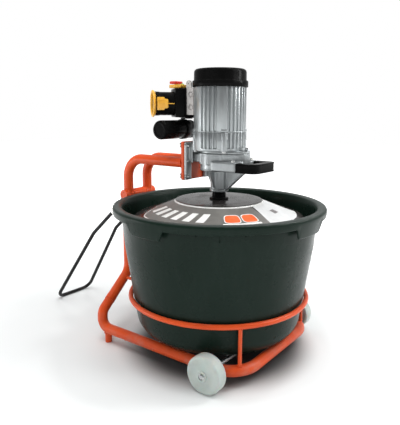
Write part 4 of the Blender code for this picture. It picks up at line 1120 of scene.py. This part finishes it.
def screw_head(x, y, z, radius, height):
    """A pan head with a round recess."""
    outline = [(0, height * 0.35), (radius * 0.42, height * 0.35), (radius * 0.46, height),
               (radius * 0.8, height), (radius, height * 0.55), (radius, -0.3), (0, -0.3)]
    return moved(lathe(outline, 24), x, y, z)


def socket_screw(radius, height, shank, length):
    """Cap screw along Z, head above z = 0, with a recess and a washer."""
    head = [(0, height * 0.45), (radius * 0.48, height * 0.45), (radius * 0.5, height),
            (radius, height), (radius, 1.4), (radius * 0.9, 1.4), (radius * 0.9, 0.1), (0, 0.1)]
    stem = [(0, -length), (shank - 0.5, -length), (shank, 0.6 - length), (shank, 0.4), (0, 0.4)]
    return gathered(turning(head, 0.35, 2, 40), collar(shank, radius * 1.28, 0.0, 1.3, 0.25, 1),
                    lathe(stem, 28))


def hexagon(radius, low, high, bevel, turn=0):
    return prism([polar(radius, 60 * k + turn) for k in range(6)], low, high, bevel)


def make_fasteners():
    plate_low, plate_high = span("arm_plate")
    head_x = plate_high.x + 9.6
    grip = head_x - plate_low.x + 0.3
    for number in range(1, 5):
        low, high = span(f"flange_bolt_{number}")
        middle = (low + high) / 2
        screw = gathered(socket_screw(4.6, high.x - head_x, 4.0, head_x - low.x),
                         hexagon(7.2, -grip - 6.4, -grip, 0.8))
        piece(f"flange_screw_{number}", moved(along_x(screw), head_x, middle.y, middle.z), "zinc",
              f"flange_bolt_{number}", sharp=30)
    for name, _ in SIDES:
        low, high = span(f"handle_screw_{name}")
        middle = (low + high) / 2
        head_z = high.z - 4.5
        screw = moved(socket_screw(4.3, 4.5, 3.0, head_z - low.z), middle.x, middle.y, head_z)
        piece(f"handle_bolt_{name}", screw, "zinc", f"handle_screw_{name}", sharp=30)
    low, high = span("oil_plug")
    shapes = gathered(hexagon(7.4, low.z + 2, high.z - 1.2, 0.9, 15),
                      disc(8.5, low.z, low.z + 2.1, 0.5, 2, 40), disc(4.6, high.z - 2, high.z))
    middle = (low + high) / 2
    piece("breather_plug", moved(shapes, middle.x, middle.y), "zinc", "oil_plug", sharp=30)


# --- Front handle --------------------------------------------------------------------------

def make_front_handle():
    """A C-shaped grip: one section swept along a straight, two rounded corners, a straight."""
    high = span("front_handle")[1]
    bottom, top = 525.5, high.z
    corner = 24.0
    start = 90.3
    bend_x, bend_y = high.x - corner, high.y - corner
    straight = [start + (bend_x - start) * share for share in (0.0, 0.33, 0.66)]
    stations = [((x, -high.y), (0.0, 1.0)) for x in straight]
    for middle_y, first in ((-bend_y, -90), (bend_y, 0)):
        for x, y in arc((bend_x, middle_y), corner, first, first + 90, 16):
            stations.append(((x, y), ((bend_x - x) / corner, (middle_y - y) / corner)))
    stations += [((x, high.y), (0.0, -1.0)) for x in reversed(straight)]
    section = soften([(0, top), (0, top - 3.4), (0.9, top - 4.2), (0.9, bottom + 4.2),
                      (0, bottom + 3.4), (0, bottom), (22, bottom), (22, top)], 1.6, 3)
    bm = bmesh.new()
    rings = []
    for (x, y), (nx, ny) in stations:
        rings.append([bm.verts.new((x + nx * deep, y + ny * deep, z)) for deep, z in section])
    shapes = [skin_rings(bm, rings)]
    for _, side in SIDES:
        tongue = sorted((side * 40.0, side * 52.0))
        shapes.append(rounded_box((66.6, 97), tongue, (530, 546), 0.8))
    piece("grip_handle", gathered(*shapes), "black_plastic", "front_handle", sharp=32)


# --- Switch gear ------------------------------------------------------------------------------

INLET_BASE = Vector((-112.0, -26.0, 705.0))
INLET_TURN = -130.0
INLET_HOUSING = (-1.0, 26.0)
INLET_R = 33.4
INLET_FRONT = 79.0
LUG = (-75.0, 759.0)
PLUGS = ((-67.0, 729.5), (-67.0, 695.0))


def make_terminal_box():
    low, high = span("terminal_box")

    def in_front(bm, place, y=low.y):
        return moved(turned(bm, "X", 90), place[0], y, place[1])

    sizes = (low.x, -50), (low.y, high.y), (low.z, 747.5)
    box = to_object("terminal", rounded_box(*sizes, 2.5, 4))
    join(box, in_front(disc(9, 0, 5, 0.8, 2, 48), LUG, low.y + 5),
         rounded_box((low.x + 0.5, -66), (low.y, low.y + 5), (738, LUG[1]), 0.9))
    cut(box, rod(73.2, 600, 800, 160), in_front(rod(2.6, -10, 10), LUG))
    cut(box, *[in_front(rod(8.4, -4.0, 5.0, 48), place) for place in PLUGS])
    join(box, *[in_front(disc(5.0, -6.0, -1.2, 0.6, 2, 40), place) for place in PLUGS])
    piece("terminal_housing", shade(box, 34), "grey_plastic", "terminal_box")


def at_inlet(bm):
    """Place a shape made along X from the origin at the slanted plug inlet."""
    return moved(turned(bm, "Z", INLET_TURN), *INLET_BASE)


def make_switch_box():
    low, high = span("switch_box")
    seam = high.x - 16.0
    groove = to_object("groove", rounded_box((seam - 0.5, seam + 0.5), (-60, 60),
                                             (low.z - 9, high.z + 9), 0))
    cut(groove, rounded_box((seam - 3, seam + 3), (low.y + 0.7, high.y - 0.7),
                            (low.z + 0.7, high.z - 0.7), 0))
    heights = (low.z + 1.5 - INLET_BASE.z, high.z - 1.5 - INLET_BASE.z)
    box = to_object("switch", node_box("switch_box", 4.0, 5))
    cut(box, at_inlet(rounded_box((0, 80), (-90, 90), (-90, 90), 0)))
    join(box, at_inlet(rounded_box(INLET_HOUSING, (-36, 36), heights, 3.0, 4)))
    evaluated(eased(cut(box, groove), 0.0009, 38))
    piece("switch_housing", shade(box, 40), "black_plastic", "switch_box")


def make_capacitor():
    low, high = span("capacitor")
    middle = (low + high) / 2
    radius = (high.x - low.x) / 2
    profile = [(0, low.y + 2.0), (15, low.y + 2.0), (17, low.y + 0.4), (20, low.y), (23.6, low.y + 1),
               (25.6, low.y + 3.6), (radius, low.y + 7), (radius, high.y - 15),
               (radius - 0.7, high.y - 14), (radius - 0.7, high.y - 12.5), (radius, high.y - 11.5),
               (radius, high.y - 6), (24.5, high.y - 2.2), (20, high.y), (0, high.y)]
    can = moved(along_y(lathe(profile, 72)), middle.x, 0, middle.z)
    piece("run_capacitor", can, "black_plastic", "capacitor")
    low, high = span("capacitor_strap")
    inner = radius + 0.3
    band = along_y(collar(inner, inner + 2, low.y, high.y, 0.4, 2, 72))
    width = (low.y, high.y)
    shapes = [moved(band, middle.x, 0, middle.z),
              rounded_box((middle.x - 1, high.x), width, (high.z - 2.5, high.z), 0.5),
              rounded_box((middle.x - 1, middle.x + 1), width,
                          (middle.z + inner + 0.5, high.z - 1), 0.3)]
    piece("capacitor_clamp", gathered(*shapes), "black_paint", "capacitor_strap")


def make_inlet():
    rear = INLET_HOUSING[1] + 0.3
    front = INLET_FRONT
    radius = INLET_R
    cup = [(0, rear), (radius, rear), (radius, rear + 5), (radius - 1.2, rear + 6.5),
           (radius - 1.2, front - 14), (radius - 0.4, front - 12), (radius, front),
           (27, front), (27, front - 42), (0, front - 42)]
    pin = [(0, front - 43), (2.6, front - 43), (2.6, front - 16.5), (0, front - 16)]
    shapes = [turning(cup, steps=96)]
    for turn in (90, 210, 330):
        shapes.append(moved(turning(pin, 0.9, 2, 20), *polar(11.0, turn)))
    for turn in (0, 180):
        strip = rounded_box((-1.7, 1.7), (radius - 2.6, radius + 1.1), (rear + 2, 46), 0.6, 2)
        shapes.append(turned(strip, "Z", turn))
    piece("inlet_socket", at_inlet(along_x(gathered(*shapes))), "black_plastic", "inlet_body")
    ring = [(30.6, front + 0.3), (radius, front + 0.3), (radius + 3.8, front + 4),
            (radius + 3.8, front + 7), (radius + 2.6, front + 8.2), (32.2, front + 8.2),
            (30.6, front + 6.6)]
    shapes = [turning(ring, 0.8, 3, 96)]
    for turn in (45, 135, 225, 315):
        notch = rounded_box((28.6, 31.6), (-1.6, 1.6), (front + 1, front + 6.5), 0.5, 2)
        shapes.append(turned(notch, "Z", turn))
    shapes.append(rounded_box((-1.3, 1.3), (radius - 0.6, radius + 2.1), (29.0, 45.4), 0.5, 2))
    piece("inlet_collar", at_inlet(along_x(gathered(*shapes))), "yellow_plastic", "inlet_ring")


def make_latch():
    """Plug clip: a curved plate with side wings, finger ribs and a hinge barrel."""
    bm = bmesh.new()
    rings = []
    for forward, half in [(47, 10), (49, 12.5), (56, 13), (58, 17.5), (75, 17.5), (77, 16.4)]:
        outer = []
        inner = []
        for step in range(13):
            across = -half + half * step / 6
            sag = across * across / 120
            outer.append(bm.verts.new((across, 38.9 - sag, forward)))
            inner.append(bm.verts.new((across, 35.4 - sag, forward)))
        rings.append(outer + inner[::-1])
    shapes = [skin_rings(bm, rings)]
    for offset in (-11, 0, 11):
        heights = (36.8 - offset * offset / 120, 40.6 - offset * offset / 150)
        shapes.append(rounded_box((offset - 1.4, offset + 1.4), heights, (57, 74), 0.6, 2))
    shapes.append(moved(along_x(disc(2.6, -11, 11, 0.5, 2, 24)), 0, 37.3, 49))
    piece("plug_clip", at_inlet(along_x(gathered(*shapes))), "yellow_plastic", "inlet_latch",
          sharp=32)


def make_switch():
    frame_low, frame_high = (corner.z for corner in span("switch_frame"))
    plate = to_object("frame", node_box("switch_frame", 1.8, 4))
    for name, hole_r, steps, material in (("stop_button", 8.5, 48, "red_plastic"),
                                          ("start_button", 5.5, 40, "green_plastic")):
        low, high = span(name)
        middle = (low + high) / 2
        radius = (high.x - low.x) / 2
        cut(plate, moved(rod(hole_r, frame_low - 5, frame_high + 5, steps), middle.x, middle.y))
        button = [(0, low.z), (radius - 0.3, low.z), (radius, low.z + 0.4), (radius, high.z - 1.4),
                  (radius - 0.5, high.z - 0.5), (radius - 1.3, high.z - 0.1),
                  (radius * 0.55, high.z - 0.4), (0, high.z - 0.6)]
        piece(f"{name}_cap", moved(lathe(button, 48), middle.x, middle.y), material, name)
    piece("switch_bezel", shade(plate, 36), "yellow_plastic", "switch_frame")
    low, high = span("stop_flap")
    shapes = [node_box("stop_flap", 2.4, 5)]
    for step in range(5):
        x = low.x + 4.5 + 2.8 * step
        shapes.append(rounded_box((x - 0.6, x + 0.6), (low.y + 4, high.y - 4),
                                  (high.z - 0.75, high.z + 0.4), 0.4, 2))
    piece("stop_cover", gathered(*shapes), "red_plastic", "stop_flap")


# --- Lid and tool ------------------------------------------------------------------------------

def make_lid():
    low, high = span("lid")
    top = high.z
    edge = high.x
    shoulder = top - 3
    profile = [(20, top), (60, top), (118, top), (121.5, top - 0.4), (124, top - 1.6),
               (125.4, shoulder - 0.8), (150, shoulder - 10.6), (190, shoulder - 26.4),
               (edge - 9, 397.6), (edge - 5.5, 395.6), (edge - 2.0, 394.8), (edge, 393.6),
               (edge, low.z + 0.6), (edge - 0.6, low.z), (edge - 2.6, low.z), (edge - 3, low.z + 0.6),
               (edge - 3, 391.2), (edge - 8, 393.4), (190, shoulder - 30), (125, shoulder - 4),
               (122, top - 3.2), (20, top - 3)]
    piece("splash_lid", lathe(profile, 192), "lid_plastic", "lid", sharp=30)
    low, high = span("lid_bush")
    bush = [(12.85, high.z), (17.8, high.z), (18.6, high.z - 1), (19.4, high.z - 6), (19.4, top + 6),
            (24, top + 5.2), (26.4, top + 4.4), (27, top + 3.2), (27, top + 0.3), (19.5, top + 0.3),
            (19.5, top - 3.3), (27, top - 3.3), (27, low.z + 0.8), (26.2, low.z), (12.85, low.z)]
    piece("shaft_bush", lathe(bush, 72), "black_plastic", "lid_bush")


def make_tool():
    low, high = span("mixing_paddle")
    bottom, top = low.z, high.z
    radius = 134.0
    bar_z = 238
    socket = top - 40.3
    stem = [(0, bottom), (11, bottom), (12, bottom + 1), (12, 298), (14, 303), (19, 307),
            (19, top - 1), (18, top), (12.85, top), (12.85, socket), (0, socket)]
    shapes = [lathe(stem, 48)]
    section = soften([(radius - 6, -17), (radius - 0.4, -17), (radius - 0.4, 17),
                      (radius - 6, 17)], 1.4, 2)
    for start in (42, 222):
        finish = start + 96
        bm = bmesh.new()
        rings = []
        for index in range(41):
            share = index / 40
            angle = start + (finish - start) * share
            middle = bottom + 18 + (bar_z - bottom - 18) * share
            rings.append([bm.verts.new((*polar(r, angle), middle + lift)) for r, lift in section])
        shapes.append(skin_rings(bm, rings))
        foot = rounded_box((4, radius - 4), (-4, 4), (bottom + 0.3, bottom + 22), 1.2)
        shapes.append(turned(foot, "Z", start + 2))
        bar = moved(along_x(rod(7, 4, radius - 4)), 0, 0, bar_z)
        shapes.append(turned(bar, "Z", finish - 3))
    piece("paddle_tool", gathered(*shapes), "steel", "mixing_paddle")


def finish_small_nodes():
    """CAD solids whose shape is right keep it, with eased edges and their own finish."""
    slots = {row["node"]: row["material_slot"] for row in frame["record"]["subparts"]}
    for name, obj in frame["nodes"].items():
        if not obj.hide_render:
            obj.data.materials.clear()
            obj.data.materials.append(MATERIALS[slots[name]])
            eased(shade(obj, 32), 0.0006, 40)


# --- Stage ---------------------------------------------------------------------------------------

FLOOR_HALF = 9.0
BACK_LIGHT = 0.64
FRONT_LIGHT = 0.035


def make_stage():
    """A pale floor that turns into plain white with distance, with a painted shadow under the tub."""
    corners = [(-1, -1), (1, -1), (1, 1), (-1, 1)]
    mesh = bpy.data.meshes.new("floor")
    mesh.from_pydata([(x * FLOOR_HALF, y * FLOOR_HALF, 0) for x, y in corners], [], [(0, 1, 2, 3)])
    floor = bpy.data.objects.new("floor", mesh)
    floor.location.z = -0.0005
    bpy.context.scene.collection.objects.link(floor)
    r = Recipe("floor")
    tone = r.mix(r.spread(r.noise(3, 3), 0.3, 0.7), (0.84, 0.86, 0.86), (0.82, 0.84, 0.84))
    x, y = r.axis(0), r.axis(1)
    # Painted shadow: the floor colour goes to near black in a disc round the tub's axis.
    under = r.spread(r.length(r.less(x, AXIS.x), y), 0.31, 0.20, 0.0, 0.9)
    tone = r.mix(under, tone, (0.01, 0.01, 0.01))
    glow = r.spread(r.length(x, y), 0.40, 1.8)
    mesh.materials.append(r.finish(tone, 0.7, 0.0, r.bump(r.noise(60, 3), 0.02, 0.0005),
                                   Emission_Color=(1.0, 1.0, 1.0), Emission_Strength=glow,
                                   Specular_IOR_Level=0.1))


def add_light(name, place, target, size, power, glossy=True):
    data = bpy.data.lights.new(name, "AREA")
    data.shape = "RECTANGLE"
    data.size, data.size_y = size
    data.energy = power
    light = bpy.data.objects.new(name, data)
    light.location = AXIS + Vector(place)
    light.visible_glossy = glossy
    direction = AXIS + Vector(target) - light.location
    light.rotation_euler = direction.to_track_quat("-Z", "Y").to_euler()
    bpy.context.scene.collection.objects.link(light)


def make_lights():
    middle = (0, 0, 0.45)
    add_light("key", (1.9, 0.5, 1.7), middle, (0.5, 1.4), 12)
    add_light("motor", (0.78, 0.62, 1.15), (0, 0, 0.66), (0.16, 0.7), 8)
    add_light("top", (-0.1, -0.5, 2.7), middle, (1.8, 1.8), 44, glossy=False)
    add_light("left", (-1.7, -1.3, 0.40), (0, 0, 0.25), (0.35, 0.6), 7)
    add_light("front", (0.5, -2.4, 1.8), middle, (1.0, 0.8), 18, glossy=False)
    add_light("spark", (0.45, 0.5, 2.57), middle, (0.22, 0.22), 9)


def make_world():
    """White behind the machine, darker on the viewer's side so that dark plastics stay dark."""
    world = bpy.data.worlds.new("studio")
    world.use_nodes = True
    tree = world.node_tree
    background = tree.nodes["Background"]
    coords = tree.nodes.new("ShaderNodeTexCoord")
    dot = tree.nodes.new("ShaderNodeVectorMath")
    dot.operation = "DOT_PRODUCT"
    dot.inputs[1].default_value = Vector((0.32, -0.94, 0.10)).normalized()
    tree.links.new(coords.outputs["Generated"], dot.inputs[0])
    fade = tree.nodes.new("ShaderNodeMapRange")
    fade.interpolation_type = "SMOOTHSTEP"
    for key, value in (("From Min", -0.35), ("From Max", 0.80), ("To Min", BACK_LIGHT),
                       ("To Max", FRONT_LIGHT)):
        fade.inputs[key].default_value = value
    tree.links.new(dot.outputs["Value"], fade.inputs["Value"])
    path = tree.nodes.new("ShaderNodeLightPath")
    choose = tree.nodes.new("ShaderNodeMix")
    choose.inputs["B"].default_value = 1.0
    tree.links.new(path.outputs["Is Camera Ray"], choose.inputs["Factor"])
    tree.links.new(fade.outputs["Result"], choose.inputs["A"])
    background.inputs["Color"].default_value = (1.0, 1.0, 1.0, 1.0)
    tree.links.new(choose.outputs["Result"], background.inputs["Strength"])
    bpy.context.scene.world = world


def make_camera():
    """Stands in front and to the right of the machine, at about motor height."""
    heading, pitch, roll = (math.radians(degrees) for degrees in (36.866, 11.646, -0.18))
    data = bpy.data.cameras.new("camera")
    data.lens = 41.637
    data.sensor_width = 36.0
    data.clip_start = 0.05
    data.clip_end = 60.0
    camera = bpy.data.objects.new("camera", data)
    camera.location = AXIS + Vector((0.78735, -1.14005, 0.68459))
    turn = Matrix.Rotation(heading, 4, "Z") @ Matrix.Rotation(math.pi / 2 - pitch, 4, "X")
    camera.rotation_euler = (turn @ Matrix.Rotation(-roll, 4, "Z")).to_euler()
    bpy.context.scene.collection.objects.link(camera)
    bpy.context.scene.camera = camera
    bpy.context.scene.view_settings.view_transform = "Standard"


for make in (make_tub, make_base_frame, make_cradle, make_uprights, make_crossbar, make_arms,
             make_wheels, make_axle, make_rear_handle, make_motor, make_cowl, make_gearbox,
             make_fasteners, make_front_handle, make_terminal_box, make_switch_box, make_capacitor,
             make_inlet, make_latch, make_switch, make_lid, make_tool, finish_small_nodes,
             make_stage, make_world, make_lights, make_camera):
    make()
